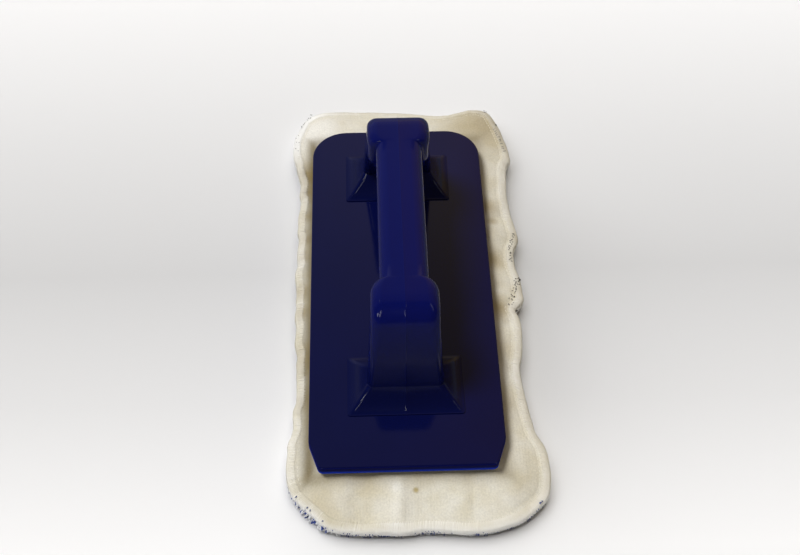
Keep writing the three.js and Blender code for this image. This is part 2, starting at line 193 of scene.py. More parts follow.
def pad_ring(inset, share=1.0):
    """Ring at a distance inside the rim. A share below 1 shrinks it towards the pad's middle line."""
    ring = rim + inset * inward
    along = np.clip(ring[:, 1], -SPINE_REACH, SPINE_REACH)
    spine = np.stack([np.full(len(ring), SPINE_X), along], axis=1)
    return spine + share * (ring - spine)


def raised(ring, heights):
    """Level ring in the plane, lifted to a height or heights."""
    return np.column_stack([ring, np.broadcast_to(heights, len(ring))])


def inside(outline, places):
    """Which places lie inside a closed outline."""
    x, y = places[:, 0][:, None], places[:, 1][:, None]
    ax, ay = outline[:, 0], outline[:, 1]
    bx, by = np.roll(ax, -1), np.roll(ay, -1)
    crossing = (ay > y) != (by > y)
    left = x < (bx - ax) * (y - ay) / (by - ay + 1e-12) + ax
    return (crossing & left).sum(axis=1) % 2 == 1


pile_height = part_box("pile")[1].z / MM
GROUND_FOOT = 5.0  # underside of the ground cloth, where the loops start
PILE_RIM_HEIGHT = 4.4


def pile_top(inset):
    """Height of the pile at a distance inside the rim, before it is pressed down anywhere."""
    return pile_height - (pile_height - PILE_RIM_HEIGHT) * max(0.0, 1 - inset / MARGIN) ** 2


# The pad lies loose, and soft folds run through its layers: place, direction in degrees from +X,
# length, width and height in millimetres. In front, on the left, on the right and at the rear.
FOLDS = [
    (-32, -127, 90, 24, 6, 0.9), (-4.5, -128, 88, 26, 5, 1.3), (19, -129, 90, 22, 8, 0.4),
    (-21, -128, 90, 22, 9, -0.5), (5, -130, 90, 20, 7, -0.45), (31, -127, 92, 24, 4, -0.5),
    (48, -128, 70, 16, 8, -0.35),
    (-54, 93, 0, 8, 8, -1.2), (-53, 78, 0, 7, 7, -1.1), (-54, 47, 0, 6, 5, -0.7), (-54, 31, 0, 6, 5, -0.7),
    (-56, 8, 0, 6, 5, -0.9), (-56, -7, 0, 6, 5, -0.8), (-53, -51, 0, 6, 5, -0.9), (-54, -69, 0, 6, 5, -0.9),
    (-54, 57, 0, 6, 5, 0.5), (-54, 40, 0, 6, 4, 0.4), (-54, 19, 0, 6, 5, 0.5), (-54, -30, 0, 6, 8, 0.4),
    (-54, -60, 0, 6, 3, 0.5),
    (55, 50, 10, 8, 8, -0.9), (56, 21, -10, 9, 7, -0.9), (58, 36, 20, 8, 7, 0.5), (60, 9, 20, 7, 6, 0.6),
    (57, -20, 10, 8, 9, -0.7), (57, -50, 0, 8, 10, -0.6), (59, -75, -10, 8, 8, -0.6),
    (56, 85, 10, 8, 10, -0.5),
    (20, 128, 85, 14, 7, 0.6), (-15, 130, 95, 14, 8, -0.35), (45, 130, 60, 14, 8, -0.4),
    (-45, 128, 120, 12, 7, -0.35),
]
FOLD_TAPER = 1.6  # how soon a fold dies out within its length and width


def fold_height(x, y):
    """Height that the folds add at places on the pad."""
    total = np.zeros_like(x)
    for fx, fy, angle, length, width, height in FOLDS:
        c, s = math.cos(math.radians(angle)), math.sin(math.radians(angle))
        along = (x - fx) * c + (y - fy) * s
        across = (y - fy) * c - (x - fx) * s
        total += height * np.exp(-(along / length * FOLD_TAPER) ** 2 - (across / width * FOLD_TAPER) ** 2)
    return total


# In front the pad droops to a thin edge: distance inside the rim and how far it sinks there.
DROOP = [(0, 3.2), (4, 3.0), (8, 2.4), (14, 1.7), (20, 0.6), (26, 0)]
DROOP_FROM, DROOP_RUN = 106, 22  # forward of the plate's middle
front_share = np.clip((-rim[:, 1] - DROOP_FROM) / DROOP_RUN, 0, 1)
front_share = front_share ** 2 * (3 - 2 * front_share)


def droop(inset):
    """How far the pad sinks all round at a distance inside the rim."""
    return front_share * np.interp(inset, *zip(*DROOP))


HOLLOW_SHARE = 1.15  # the pile sinks a little deeper than the hollows of the cloth over it


def ground_top(inset):
    """Height of the pile's upper side all round, pressed down where the pad droops or has a hollow."""
    hollow = HOLLOW_SHARE * np.minimum(fold_height(*pad_ring(inset).T), 0)
    return np.maximum(pile_top(inset) + hollow - droop(inset), PILE_RIM_HEIGHT)


# Section of the ground cloth: out to the rim along its underside, by inset and height, and back over its top.
GROUND_UNDERSIDE = [(MARGIN, GROUND_FOOT - 0.6), (3.4, 3.2), (1.4, 2.8)]
GROUND_TOP = [1.4, 3, 5, 8, 11, 14]
ground_rings = [raised(pad_ring(inset), z) for inset, z in GROUND_UNDERSIDE]
ground_rings += [raised(pad_ring(inset), ground_top(inset)) for inset in GROUND_TOP]

# White pile yarn, spun from cotton: dull with a soft nap, and grey between its twists, so that each loop
# reads as thread. The twist is drawn coarser than it is, so that it shows.
yarn_white, tree, shader = start_material("cotton_yarn_white", Roughness=0.95, Sheen_Weight=0.25)
place = add_node(tree, "TexCoord", {}).outputs["Object"]
TWIST_SPACING = 0.9
twist = add_node(tree, "TexNoise", {"Vector": place, "Scale": 1 / (TWIST_SPACING * MM)})
tint = add_node(tree, "ValToRGB", {"Fac": twist.outputs["Fac"]})
tint.color_ramp.elements[0].color = linear("#b9bcc4")
tint.color_ramp.elements[1].color = linear("#f6f5f0")
bump = add_node(tree, "Bump", {"Height": twist.outputs["Fac"], "Strength": 0.5, "Distance": 0.3 * MM})
tree.links.new(tint.outputs["Color"], shader.inputs["Base Color"])
tree.links.new(bump.outputs["Normal"], shader.inputs["Normal"])

# Blue pile yarn of dyed polyester: smoother than the cotton, so its blue stays clear and deep between the
# twists.
yarn_blue, tree, shader = start_material("polyester_yarn_blue", Roughness=0.8, Sheen_Weight=0.2)
place = add_node(tree, "TexCoord", {}).outputs["Object"]
twist = add_node(tree, "TexNoise", {"Vector": place, "Scale": 1 / (TWIST_SPACING * MM)})
tint = add_node(tree, "ValToRGB", {"Fac": twist.outputs["Fac"]})
tint.color_ramp.elements[0].color = linear("#16245c")
tint.color_ramp.elements[1].color = linear("#3c56a8")
bump = add_node(tree, "Bump", {"Height": twist.outputs["Fac"], "Strength": 0.5, "Distance": 0.3 * MM})
tree.links.new(tint.outputs["Color"], shader.inputs["Base Color"])
tree.links.new(bump.outputs["Normal"], shader.inputs["Normal"])

pile_ground = add_piece("pile_ground", *skin(ground_rings), yarn_white, "pad", "cleaning_pile", 60)
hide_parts("pile")

# Loops in rows along the pad, which stop short of the hem.
ROW_SPACING = 5.0
LOOP_SPACING = 4.4
LOOP_WIDTH = 3.6
LOOP_MARGIN = 4.5
LOOP_ROOT = GROUND_FOOT - 0.8
YARN_RADIUS = 1.15
YARN_CORNERS = 6
BLUE_EVERY, FIRST_BLUE = 4, 2
LOOP_STEPS = 7
draw = random.Random(11)


def add_bow(threads, foot, middle, end):
    """One thread, bowed from a foot through its middle to its end, for the paths and sides in threads."""
    foot, middle, end = (np.array(point, float) for point in (foot, middle, end))
    u = np.linspace(0, 1, LOOP_STEPS)[:, None]
    pull = 2 * middle - (foot + end) / 2
    side = np.cross(middle - foot, end - foot)
    paths, sides = threads
    paths.append((1 - u) ** 2 * foot + 2 * u * (1 - u) * pull + u ** 2 * end)
    sides.append(side / np.linalg.norm(side))


loops = {"white": ([], []), "blue": ([], [])}
rows = np.arange(rim[:, 0].min(), rim[:, 0].max(), ROW_SPACING)
for row, x in enumerate(rows):
    colour = "blue" if row % BLUE_EVERY == FIRST_BLUE else "white"
    places = np.array([(x, y) for y in np.arange(rim[:, 1].min(), rim[:, 1].max(), LOOP_SPACING)])
    for cx, cy in places[inside(pad_ring(LOOP_MARGIN), places)]:
        lean = draw.uniform(-0.9, 0.9)
        half = LOOP_WIDTH / 2 * draw.uniform(0.85, 1.15)
        skew = draw.uniform(-0.8, 0.8)
        low = YARN_RADIUS + draw.uniform(0.05, 0.5)
        add_bow(loops[colour], (cx - lean, cy - half, LOOP_ROOT), (cx + skew, cy, low),
                (cx + lean, cy + half, LOOP_ROOT))

# A fringe of thinner yarn leans out under the hem in places: place on the rim, length along it and how far
# the yarn reaches out.
PEEKS = [(-49, -133, 13, 3.0), (-62, -110, 8, 0.8), (-18, -143, 12, 0.6), (6, -145, 9, 1.0),
         (35, -143.5, 8, 0.8), (60, -136, 9, 0.9)]
LEAST_PEEK = 0.2
FRINGE_SPACING = 0.6
FRINGE_RADIUS = 0.32
FRINGE_INSET = 2.2  # of its two ends
FRINGE_REST = 0.4  # inset of its middle where it reaches out least
FRINGE_BLUE = 0.3  # share of it that is blue
THREAD_CORNERS = 5
fringe = {"white": ([], []), "blue": ([], [])}
perimeter = len(rim) * RIM_STEP
for at in np.arange(0, perimeter, FRINGE_SPACING):
    i = int(at / RIM_STEP)
    (x, y), (dx, dy), (tx, ty) = rim[i], inward[i], rim_way[i]
    peek = 0
    for px, py, size, reach in PEEKS:
        peek = max(peek, reach * math.exp(-((x - px) ** 2 + (y - py) ** 2) / size ** 2))
    if peek < LEAST_PEEK:
        continue
    colour = "blue" if draw.random() < FRINGE_BLUE else "white"
    tip = FRINGE_REST - peek * draw.uniform(0.3, 1.0)
    slant = draw.uniform(-1.2, 1.2)
    half = draw.uniform(0.3, 0.8)
    root_x, root_y = x + FRINGE_INSET * dx, y + FRINGE_INSET * dy
    foot = (root_x - half * tx, root_y - half * ty, draw.uniform(2.2, 3.6))
    middle = (x + tip * dx + slant * tx, y + tip * dy + slant * ty, draw.uniform(0.8, 3.4))
    end = (root_x + half * tx, root_y + half * ty, draw.uniform(1.2, 2.4))
    add_bow(fringe[colour], foot, middle, end)

for colour, yarn in (("white", yarn_white), ("blue", yarn_blue)):
    tufts = tubes(*loops[colour], YARN_RADIUS, YARN_CORNERS)
    add_piece(f"pile_loops_{colour}", *tufts, yarn, "pad", "cleaning_pile")
    strands = tubes(*fringe[colour], FRINGE_RADIUS, THREAD_CORNERS)
    add_piece(f"pile_fringe_{colour}", *strands, yarn, "pad", "cleaning_pile")


# Wadding
# A thin needled layer of white polyester between pile and backing, which gives the pad its spring.
# It stops short of the rim, so the hem stays thin.

WADDING_INSET = 8
WADDING_RINGS = 5
WADDING_RIM_THICKNESS = 1
WADDING_GAP = 0.2
wadding_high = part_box("wadding")[1].z / MM
wadding_insets = np.linspace(WADDING_INSET, MARGIN, WADDING_RINGS)


def wadding_ring(inset, above):
    """Ring on the wadding's underside, or above it by a share of its thickness."""
    share = (inset - WADDING_INSET) / (MARGIN - WADDING_INSET)
    full_thickness = wadding_high - pile_height - WADDING_GAP
    thickness = WADDING_RIM_THICKNESS + (full_thickness - WADDING_RIM_THICKNESS) * share
    return raised(pad_ring(inset), ground_top(inset) + WADDING_GAP + above * thickness)


wadding_rings = [wadding_ring(inset, 0) for inset in wadding_insets[::-1]]
wadding_rings += [wadding_ring(inset, 1) for inset in wadding_insets]

# Polyester fibre matted by needles: dead matt and nearly white, with a fine speckle of fibres. The fibres are
# drawn coarser than they are, so that they show.
needled_wadding, tree, shader = start_material("needled_polyester_wadding", Roughness=1.0)
place = add_node(tree, "TexCoord", {}).outputs["Object"]
FIBRE_SPACING = 0.6
fibres = add_node(tree, "TexNoise", {"Vector": place, "Scale": 1 / (FIBRE_SPACING * MM)})
tint = add_node(tree, "ValToRGB", {"Fac": fibres.outputs["Fac"]})
tint.color_ramp.elements[0].color = linear("#d8d6cf")
tint.color_ramp.elements[1].color = linear("#f8f7f3")
tree.links.new(tint.outputs["Color"], shader.inputs["Base Color"])
wadding = add_piece("wadding_layer", *skin(wadding_rings), needled_wadding, "pad", "wadding", 60)
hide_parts("wadding")


# Backing
# Cream brushed knit with a loop face that the hook tape grips. It is cut to the pad's outline, sewn down by a
# line of stitches inside the rim, and puckers into soft folds between that seam and the plate.

backing_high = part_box("backing")[1].z / MM
plate_reach = np.array(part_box("base_plate")[1]) / MM
SEAM_INSET = 6.0
SEAM_DEPTH = 0.24
SEWN_WIDTH = 0.8  # of the channel that the stitches pull down
CLOTH_THICKNESS = 1.2

# Rings of the cloth: distances inside the rim, then shares towards the pad's middle line.
CLOTH_INSETS = [1.1, 1.7, 2.4, 3.2, 4, 4.8, 5.5, 6, 6.5, 7.2, 8.2, 9.5, 11, 12.5, 14]
INNER_SHARES = [0.97, 0.94, 0.9, 0.86, 0.82, 0.78, 0.74, 0.7, 0.66, 0.62, 0.57,
                0.47, 0.36, 0.25, 0.14, 0.05]

# Height of the cloth over the floor at distances inside the rim.
PROFILE = [(1.1, 9.6), (2.4, 10.3), (4, 10.8), (6, 11.2), (8, 11.7), (11, 12.6), (14, 13.4), (18, 13.8)]
FOLD_CREST = 15.2  # as high as a fold rises beside the plate
CREST_RUN = 3  # distance from the plate at which it may be that high
LOOSE_FROM, LOOSE_RUN = 0.5, 4  # inset from which the cloth lies loose, and how soon it does
HALF_WIDTH = 50  # from the sloping rim to the middle line

UNEVENNESS = 0.28
WAVE_LENGTHS = (9, 13, 17, 22, 31, 44)
wave_draw = random.Random(5)
WAVES = []
for length in WAVE_LENGTHS:
    heading = wave_draw.uniform(0, math.pi)
    turn = 2 * math.pi / length
    start = wave_draw.uniform(0, 6)
    WAVES.append((turn * math.cos(heading), turn * math.sin(heading), start, length / max(WAVE_LENGTHS)))


def uneven(x, y):
    """Slight waviness of cloth that lies loose."""
    return UNEVENNESS * sum(share * np.sin(ax * x + ay * y + start) for ax, ay, start, share in WAVES)


PUCKER_LENGTH = 7.5
PUCKER_HEIGHT = 0.14
PUCKER_INSET, PUCKER_WIDTH = SEAM_INSET - 1.5, 3.5
pucker_draw = random.Random(8)
pucker_turns = np.cumsum([pucker_draw.uniform(0.5, 1.5) for _ in range(len(rim))])
pucker_turns *= 2 * math.pi * round(perimeter / PUCKER_LENGTH) / pucker_turns[-1]

# In front the seam lies so near the edge that it can't be seen, and on the left the cloth hides it.
HIDDEN_FROM, HIDDEN_TO, HIDDEN_FADE = 114, 58, 10  # forward of the plate's middle, and to its right
hidden_in_front = np.clip((-rim[:, 1] - HIDDEN_FROM) / HIDDEN_FADE, 0, 1)
hidden_in_front *= np.clip((HIDDEN_TO - rim[:, 0]) / HIDDEN_FADE, 0, 1)
seam_shown = (1 - hidden_in_front) * (1 - on_left)


def cloth_height(inset):
    """Height of the cloth all round at a distance inside the rim, with the sewn channel and its puckers."""
    insets, heights = zip(*PROFILE)
    near_seam = math.exp(-((inset - SEAM_INSET) / SEWN_WIDTH) ** 2)
    puckered = PUCKER_HEIGHT * math.exp(-((inset - PUCKER_INSET) / PUCKER_WIDTH) ** 2)
    sewn = puckered * np.sin(pucker_turns) - SEAM_DEPTH * near_seam
    return np.interp(inset, insets, heights) + seam_shown * sewn - droop(inset)


def cloth_ring(inset, share=1.0):
    """Ring on the cloth's upper side, with folds that die out towards the rim."""
    ring = pad_ring(inset, share)
    depth = inset + (1 - share) * HALF_WIDTH
    fade = min(1.0, max(0.0, (depth - LOOSE_FROM) / LOOSE_RUN))
    loose = fade * (fold_height(*ring.T) + uneven(*ring.T))
    past = np.maximum(np.abs(ring[:, 0]) - plate_reach[0], np.abs(ring[:, 1]) - plate_reach[1])
    ceiling = backing_high + (FOLD_CREST - backing_high) * np.clip(past / CREST_RUN, 0, 1)
    return raised(ring, np.minimum(cloth_height(depth) + loose, ceiling))


cloth_rings = [cloth_ring(inset) for inset in CLOTH_INSETS]
cloth_rings += [cloth_ring(MARGIN, share) for share in INNER_SHARES]
under_rings = [ring - (0, 0, CLOTH_THICKNESS) for ring in cloth_rings[::-1]]

# Where the cloth is browner: in the hollows of its folds, where painted shade is mixed with soil; along the
# plate, where grime is mixed with the painted shade that the plate's edge casts; and in patches given by
# place, size and strength, which are soil, and also painted shade where they lie in the hollows of the folds
# beside the plate and in front. In front, on the right, on the left and along the hem.
HOLLOW_DARK_FROM, HOLLOW_DARK_FULL = 0.35, 1.3
GRIME_AND_SHADE_WIDTH = 4.5
GRIME_AND_SHADE_BLEND = 6  # over which the grime of the sides passes into that of the ends
END_GRIME_AND_SHADE, LEFT_GRIME_AND_SHADE, RIGHT_GRIME_AND_SHADE = 0.65, 1.0, 0.5
SOIL_AND_SHADE_PATCHES = [
    (-44, -128, 16, 0.32), (60, -118, 16, 0.15), (-21, -120, 8, 0.3), (6, -120, 7, 0.2), (31, -120, 5, 0.15),
    (55, 128, 24, 0.65), (54, 85, 20, 0.15), (52, 60, 7, 0.7), (53, 40, 7, 0.3), (53, 22, 8, 0.7),
    (54, 5, 7, 0.3), (53, -12, 8, 0.8), (53, -40, 10, 0.4), (54, -75, 10, 0.3),
    (-30, 135, 12, 0.1), (-50, 90, 11, 0.95), (-51, 78, 9, 0.7), (-54, 58, 5, 0.5), (-54, 41, 5, 0.55),
    (-55, 27, 5, 0.45), (-57, 3, 6, 0.7), (-56, -12, 6, 0.65), (-53, -42, 12, 0.6), (-54, -68, 8, 0.5),
    (-54, 10, 60, 0.15),
    (69, 40, 5, 0.5), (69, 1, 7, 0.5), (70, 104, 5, 0.4),
]
# Where it is paler, on the right, at the rear and in front: scrubbed cloth, and painted light on the crests
# of the front folds and on the right border, which slopes away from the key light.
WORN_AND_LIT_PATCHES = [
    (62, 72, 30, 0.2), (68, 0, 36, 0.18), (70, -60, 40, 0.22), (-52, 126, 24, 0.7), (-8, 140, 28, 0.1),
    (-6, -134, 9, 0.5), (-6, -122, 7, 0.3), (20, -138, 16, 0.12), (44, -134, 14, 0.25),
]


def patches(spots, x, y):
    """Strength of the strongest spot at each place. A spot has a place, a size and a strength."""
    strengths = []
    for px, py, size, share in spots:
        strengths.append(share * np.exp(-((x - px) ** 2 + (y - py) ** 2) / size ** 2))
    return np.max(strengths, axis=0)


def worn_and_lit_at(x, y):
    """How far the cloth is paler: scrubbed, and painted light."""
    return patches(WORN_AND_LIT_PATCHES, x, y)


def soil_and_shade_at(x, y):
    """How brown the cloth is, from hollows, where it is painted shade with soil, and from patches."""
    hollow = np.clip((-fold_height(x, y) - HOLLOW_DARK_FROM) / (HOLLOW_DARK_FULL - HOLLOW_DARK_FROM), 0, 1)
    return np.maximum(hollow, patches(SOIL_AND_SHADE_PATCHES, x, y))


def grime_and_shade_at(x, y):
    """Grime along the plate's edge together with the painted shade that the edge casts, most of all on the
    left.
    """
    beside = np.abs(x) - plate_reach[0]
    beyond = np.abs(y) - plate_reach[1]
    at_side = np.clip((beside - beyond) / GRIME_AND_SHADE_BLEND + 0.5, 0, 1)
    near = np.exp(-(np.maximum(beside, beyond) / GRIME_AND_SHADE_WIDTH) ** 2)
    side_grime_and_shade = np.where(x < 0, LEFT_GRIME_AND_SHADE, RIGHT_GRIME_AND_SHADE)
    return near * (END_GRIME_AND_SHADE + (side_grime_and_shade - END_GRIME_AND_SHADE) * at_side)


def paint(piece, name, strength_at):
    """Stores a strength at each point of a piece, for its material to read."""
    points = np.empty(3 * len(piece.data.vertices))
    piece.data.vertices.foreach_get("co", points)
    x, y, _ = points.reshape(-1, 3).T / MM
    layer = piece.data.attributes.new(name, "FLOAT", "POINT")
    layer.data.foreach_set("value", strength_at(x, y))


# Cotton knit with a brushed face: no gloss, a fine nap over faint ribs, and a cream that clouds to yellow,
# brown and grey where it is soiled and where shade is painted in, in the hollows of its folds and along the
# plate, and turns paler where it is scrubbed and where light is painted on. Ribs and nap are drawn coarser
# than they are, so that they show.
brushed_knit, tree, shader = start_material("brushed_knit_cream", Roughness=0.95, Sheen_Weight=0.15)
place = add_node(tree, "TexCoord", {}).outputs["Object"]
WALE_SPACING = 1.6
WAVE_PERIOD = 0.1 * math.pi  # of a band texture whose scale is 1
bands = {"Vector": place, "Scale": WAVE_PERIOD / (WALE_SPACING * MM), "Distortion": 2.5, "Detail": 2.0,
         "Detail Scale": 3.0}
wale = add_node(tree, "TexWave", bands, wave_type="BANDS", bands_direction="X")
NAP_SIZE = 0.9
nap = add_node(tree, "TexNoise", {"Vector": place, "Scale": 1 / (NAP_SIZE * MM), "Detail": 4.0})
CLOUD_SIZE = 12
cloud = add_node(tree, "TexNoise", {"Vector": place, "Scale": 1 / (CLOUD_SIZE * MM), "Detail": 5.0})
tint = add_node(tree, "ValToRGB", {"Fac": cloud.outputs["Fac"]})
tint.color_ramp.elements[0].position = 0.35
tint.color_ramp.elements[0].color = linear("#d8d2bd")
tint.color_ramp.elements[1].position = 0.65
tint.color_ramp.elements[1].color = linear("#dfdccf")
# Painted light with wear: paler on the crests of the front folds and on the right border.
worn_and_lit = add_node(tree, "Attribute", {}, attribute_name="worn_and_lit")
paler = add_node(tree, "Mix", {0: worn_and_lit.outputs["Fac"], 6: tint.outputs["Color"], 7: linear("#f0efea")},
                 data_type="RGBA")
# Painted shade with soil: browner in the hollows of the folds and in patches.
soil_and_shade = add_node(tree, "Attribute", {}, attribute_name="soil_and_shade")
browned_and_shaded = add_node(tree, "Mix", {0: soil_and_shade.outputs["Fac"], 6: paler.outputs[2], 7: linear("#a08d60")},
                   data_type="RGBA")
# Painted shade with grime: a darker band along the plate's edge, where the edge shades the cloth.
grime_and_shade = add_node(tree, "Attribute", {}, attribute_name="grime_and_shade")
GRIME_AND_SHADE_STRENGTH = 0.85
share = add_node(tree, "Math", {0: grime_and_shade.outputs["Fac"], 1: GRIME_AND_SHADE_STRENGTH}, operation="MULTIPLY")
greyed_and_shaded = add_node(tree, "Mix", {0: share.outputs["Value"], 6: browned_and_shaded.outputs[2], 7: linear("#6a5a30")},
                  data_type="RGBA")
colour = greyed_and_shaded.outputs[2]

# Two old drips: place and size in millimetres, and colour. Each fades from its middle to its edge.
DRIPS = ((3.6, -123.5, 1.5, "#a08a3c"), (-20.6, -133.1, 0.8, "#b98a78"))
DRIP_MIDDLE, DRIP_EDGE, DRIP_STRENGTH = 0.5, 1.6, 0.75
for x, y, size, stain in DRIPS:
    spot = (x * MM, y * MM, backing_high * MM)
    apart = add_node(tree, "VectorMath", {0: place, 1: spot}, operation="DISTANCE")
    fade = {"Value": apart.outputs["Value"], "From Min": DRIP_MIDDLE * size * MM,
            "From Max": DRIP_EDGE * size * MM, "To Min": DRIP_STRENGTH, "To Max": 0.0}
    spread = add_node(tree, "MapRange", fade, interpolation_type="SMOOTHSTEP")
    drip = add_node(tree, "Mix", {0: spread.outputs["Result"], 6: colour, 7: linear(stain)}, data_type="RGBA")
    colour = drip.outputs[2]
worn = add_node(tree, "MapRange", {"Value": nap.outputs["Fac"], "From Min": 0.3, "From Max": 0.7,
                                   "To Min": 0.9, "To Max": 1.07})
shaded = add_node(tree, "Mix", {0: 1.0, 6: colour, 7: worn.outputs["Result"]}, data_type="RGBA",
                  blend_type="MULTIPLY")
RIB_SHARE = 0.35  # height of the ribs against the nap
stands = add_node(tree, "Math", {0: wale.outputs["Fac"], 1: RIB_SHARE, 2: nap.outputs["Fac"]},
                  operation="MULTIPLY_ADD")
bump = add_node(tree, "Bump", {"Height": stands.outputs["Value"], "Strength": 0.45, "Distance": 0.22 * MM})
tree.links.new(shaded.outputs[2], shader.inputs["Base Color"])
tree.links.new(bump.outputs["Normal"], shader.inputs["Normal"])

backing = add_piece("backing_cloth", *skin(under_rings + cloth_rings), brushed_knit, "pad", "loop_cloth", 70)
paint(backing, "soil_and_shade", soil_and_shade_at)
paint(backing, "grime_and_shade", grime_and_shade_at)
paint(backing, "worn_and_lit", worn_and_lit_at)
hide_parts("backing")


# Overlocked hem
# The rim is rolled and oversewn with cream cotton thread, in close slanting stitches that hold all layers
# together. A needle thread runs along their inner ends, and blue pile yarn pokes through in places.

# Section of the roll: over the cloth by inset and height above it, down the wall and up inside it by inset
# and height above the floor, and back under the cloth.
ROLL_TOP = [(4.8, -0.1), (4.1, 0.0), (3.3, 0.06), (2.5, 0.08), (1.8, 0.06), (1.2, 0.0)]
ROLL_WALL = [(0.45, 8.7), (0.1, 7.4), (0, 5.8), (0.1, 3.9), (0.8, 2.3), (1.8, 1.6)]
ROLL_INSIDE = [(2.2, 1.9), (1.2, 2.4), (0.7, 3.5), (0.8, 4.7)]
ROLL_BACK = [(1.5, -0.3), (3.0, -0.3), (5.2, -0.3)]
LEVEL_BELOW, LEVEL_RUN = 1.5, 4  # up to this height the wall doesn't follow the rim, and then it comes to

rim_height = cloth_ring(CLOTH_INSETS[0])[:, 2]
rim_lift = rim_height - rim_height.mean()


def cloth_rings_lifted(section):
    """Rings that follow the cloth at a height above it, or below it."""
    return [raised(pad_ring(inset), cloth_ring(inset)[:, 2] + lift) for inset, lift in section]


def wall_rings(section):
    """Rings on the upright part of the roll, which follows the rim up and down and stays off the floor."""
    rings = []
    for inset, z in section:
        rings.append(raised(pad_ring(inset), z + rim_lift * np.clip((z - LEVEL_BELOW) / LEVEL_RUN, 0, 1)))
    return rings


roll_top = cloth_rings_lifted(ROLL_TOP)
roll_wall = wall_rings(ROLL_WALL)
roll_rings = roll_top + roll_wall + wall_rings(ROLL_INSIDE) + cloth_rings_lifted(ROLL_BACK)

STITCH_SPACING = 0.85
STITCH_STRAY = 0.25  # in steps of the rim
THREAD_RADIUS = 0.17
STITCH_LEAN = 0.9
THREAD_SINK = 0.09

stitch_count = round(perimeter / STITCH_SPACING)
stitch_at = np.arange(stitch_count) * len(rim) / stitch_count
stitch_draw = random.Random(3)
stitch_at += np.array([stitch_draw.uniform(-STITCH_STRAY, STITCH_STRAY) for _ in stitch_at])


def round_rim(values, at):
    """Values that run round the rim, read at places between its steps."""
    low = np.floor(at).astype(int)
    share = (at - low)[:, None]
    return values[low % len(values)] * (1 - share) + values[(low + 1) % len(values)] * share


# Each stitch runs over the roll's top and down its wall, so it swells upwards first and outwards later.
OUTWARD_STEPS, UPWARD_STEPS = 6, 9
over_rings = roll_top + roll_wall[:5]
swell = THREAD_RADIUS - THREAD_SINK
stitch_points = []
for step, ring in enumerate(over_rings):
    lean = STITCH_LEAN * (1 - step / (len(over_rings) - 1)) / RIM_STEP
    outward = -inward * swell * min(1.0, step / OUTWARD_STEPS)
    swollen = ring + raised(outward, swell * (1 - step / UPWARD_STEPS))
    stitch_points.append(round_rim(swollen, stitch_at + lean))
stitch_paths = np.stack(stitch_points, axis=1)
stitch_sides = raised(round_rim(rim_way, stitch_at), 0)

# Spun cotton sewing thread: matt cream with a speckle from its twist, soiled and painted with shade less than
# the cloth, paler where the cloth is, and whiter low on the roll, which is wear and painted light on the
# roll's shaded lower wall. The twist is drawn coarser than it is, so that it shows.
hem_thread, tree, shader = start_material("spun_cotton_thread_cream", Roughness=0.9, Sheen_Weight=0.15)
place = add_node(tree, "TexCoord", {}).outputs["Object"]
PLY_SPACING = 0.8
PLY_SHARE = 0.5  # of the twist against the clouds in its colour
ply = add_node(tree, "TexNoise", {"Vector": place, "Scale": 1 / (PLY_SPACING * MM), "Detail": 3.0})
YELLOWED_SIZE = 18
yellowed = add_node(tree, "TexNoise", {"Vector": place, "Scale": 1 / (YELLOWED_SIZE * MM)})
mixed = add_node(tree, "Math", {0: ply.outputs["Fac"], 1: PLY_SHARE, 2: yellowed.outputs["Fac"]},
                 operation="MULTIPLY_ADD")
tint = add_node(tree, "ValToRGB", {"Fac": mixed.outputs["Value"]})
tint.color_ramp.elements[0].position = 0.5
tint.color_ramp.elements[0].color = linear("#ddd7c2")
tint.color_ramp.elements[1].position = 0.95
tint.color_ramp.elements[1].color = linear("#ece9df")
apart = add_node(tree, "SeparateXYZ", {"Vector": place})
RUBBED_AND_LIT_LOW, RUBBED_AND_LIT_HIGH = 5.0, 7.6
# Painted light with wear: whiter low on the roll, where its lower wall is in shade.
rubbed_and_lit = add_node(tree, "MapRange", {"Value": apart.outputs["Z"], "From Min": RUBBED_AND_LIT_LOW * MM,
                                     "From Max": RUBBED_AND_LIT_HIGH * MM, "To Min": 0.9, "To Max": 0.0})
soil_and_shade = add_node(tree, "Attribute", {}, attribute_name="soil_and_shade")
worn_and_lit = add_node(tree, "Attribute", {}, attribute_name="worn_and_lit")
paler = add_node(tree, "Mix", {0: worn_and_lit.outputs["Fac"], 6: tint.outputs["Color"], 7: linear("#f4f3ef")},
                 data_type="RGBA")
browned_and_shaded = add_node(tree, "Mix", {0: soil_and_shade.outputs["Fac"], 6: paler.outputs[2], 7: linear("#a08d60")},
                   data_type="RGBA")
whitened_and_lit = add_node(tree, "Mix", {0: rubbed_and_lit.outputs["Result"], 6: browned_and_shaded.outputs[2], 7: linear("#f7f6f3")},
                    data_type="RGBA")
bump = add_node(tree, "Bump", {"Height": ply.outputs["Fac"], "Strength": 0.5, "Distance": 0.2 * MM})
tree.links.new(whitened_and_lit.outputs[2], shader.inputs["Base Color"])
tree.links.new(bump.outputs["Normal"], shader.inputs["Normal"])

# The hem takes up a share of the cloth's soil and of its painted shade.
HEM_SOIL_AND_SHADE = 0.5  # share of the cloth's soil that the hem takes up
# The hem is paler than the cloth by a factor, from scrubbing and painted light.
HEM_WEAR_AND_LIGHT = 2.0  # how much more than the cloth it is scrubbed
hem_roll = add_piece("hem_roll", *skin(roll_rings[::-1], False), hem_thread, "pad", "hem_thread", 70)
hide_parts("overlock_hem")
stitches = tubes(stitch_paths, stitch_sides, THREAD_RADIUS, THREAD_CORNERS)
hem_stitches = add_piece("hem_stitches", *stitches, hem_thread, "pad", "hem_thread")
for piece in (hem_roll, hem_stitches):
    paint(piece, "soil_and_shade", lambda x, y: HEM_SOIL_AND_SHADE * soil_and_shade_at(x, y))
    paint(piece, "worn_and_lit", lambda x, y: np.minimum(HEM_WEAR_AND_LIGHT * worn_and_lit_at(x, y), 1))

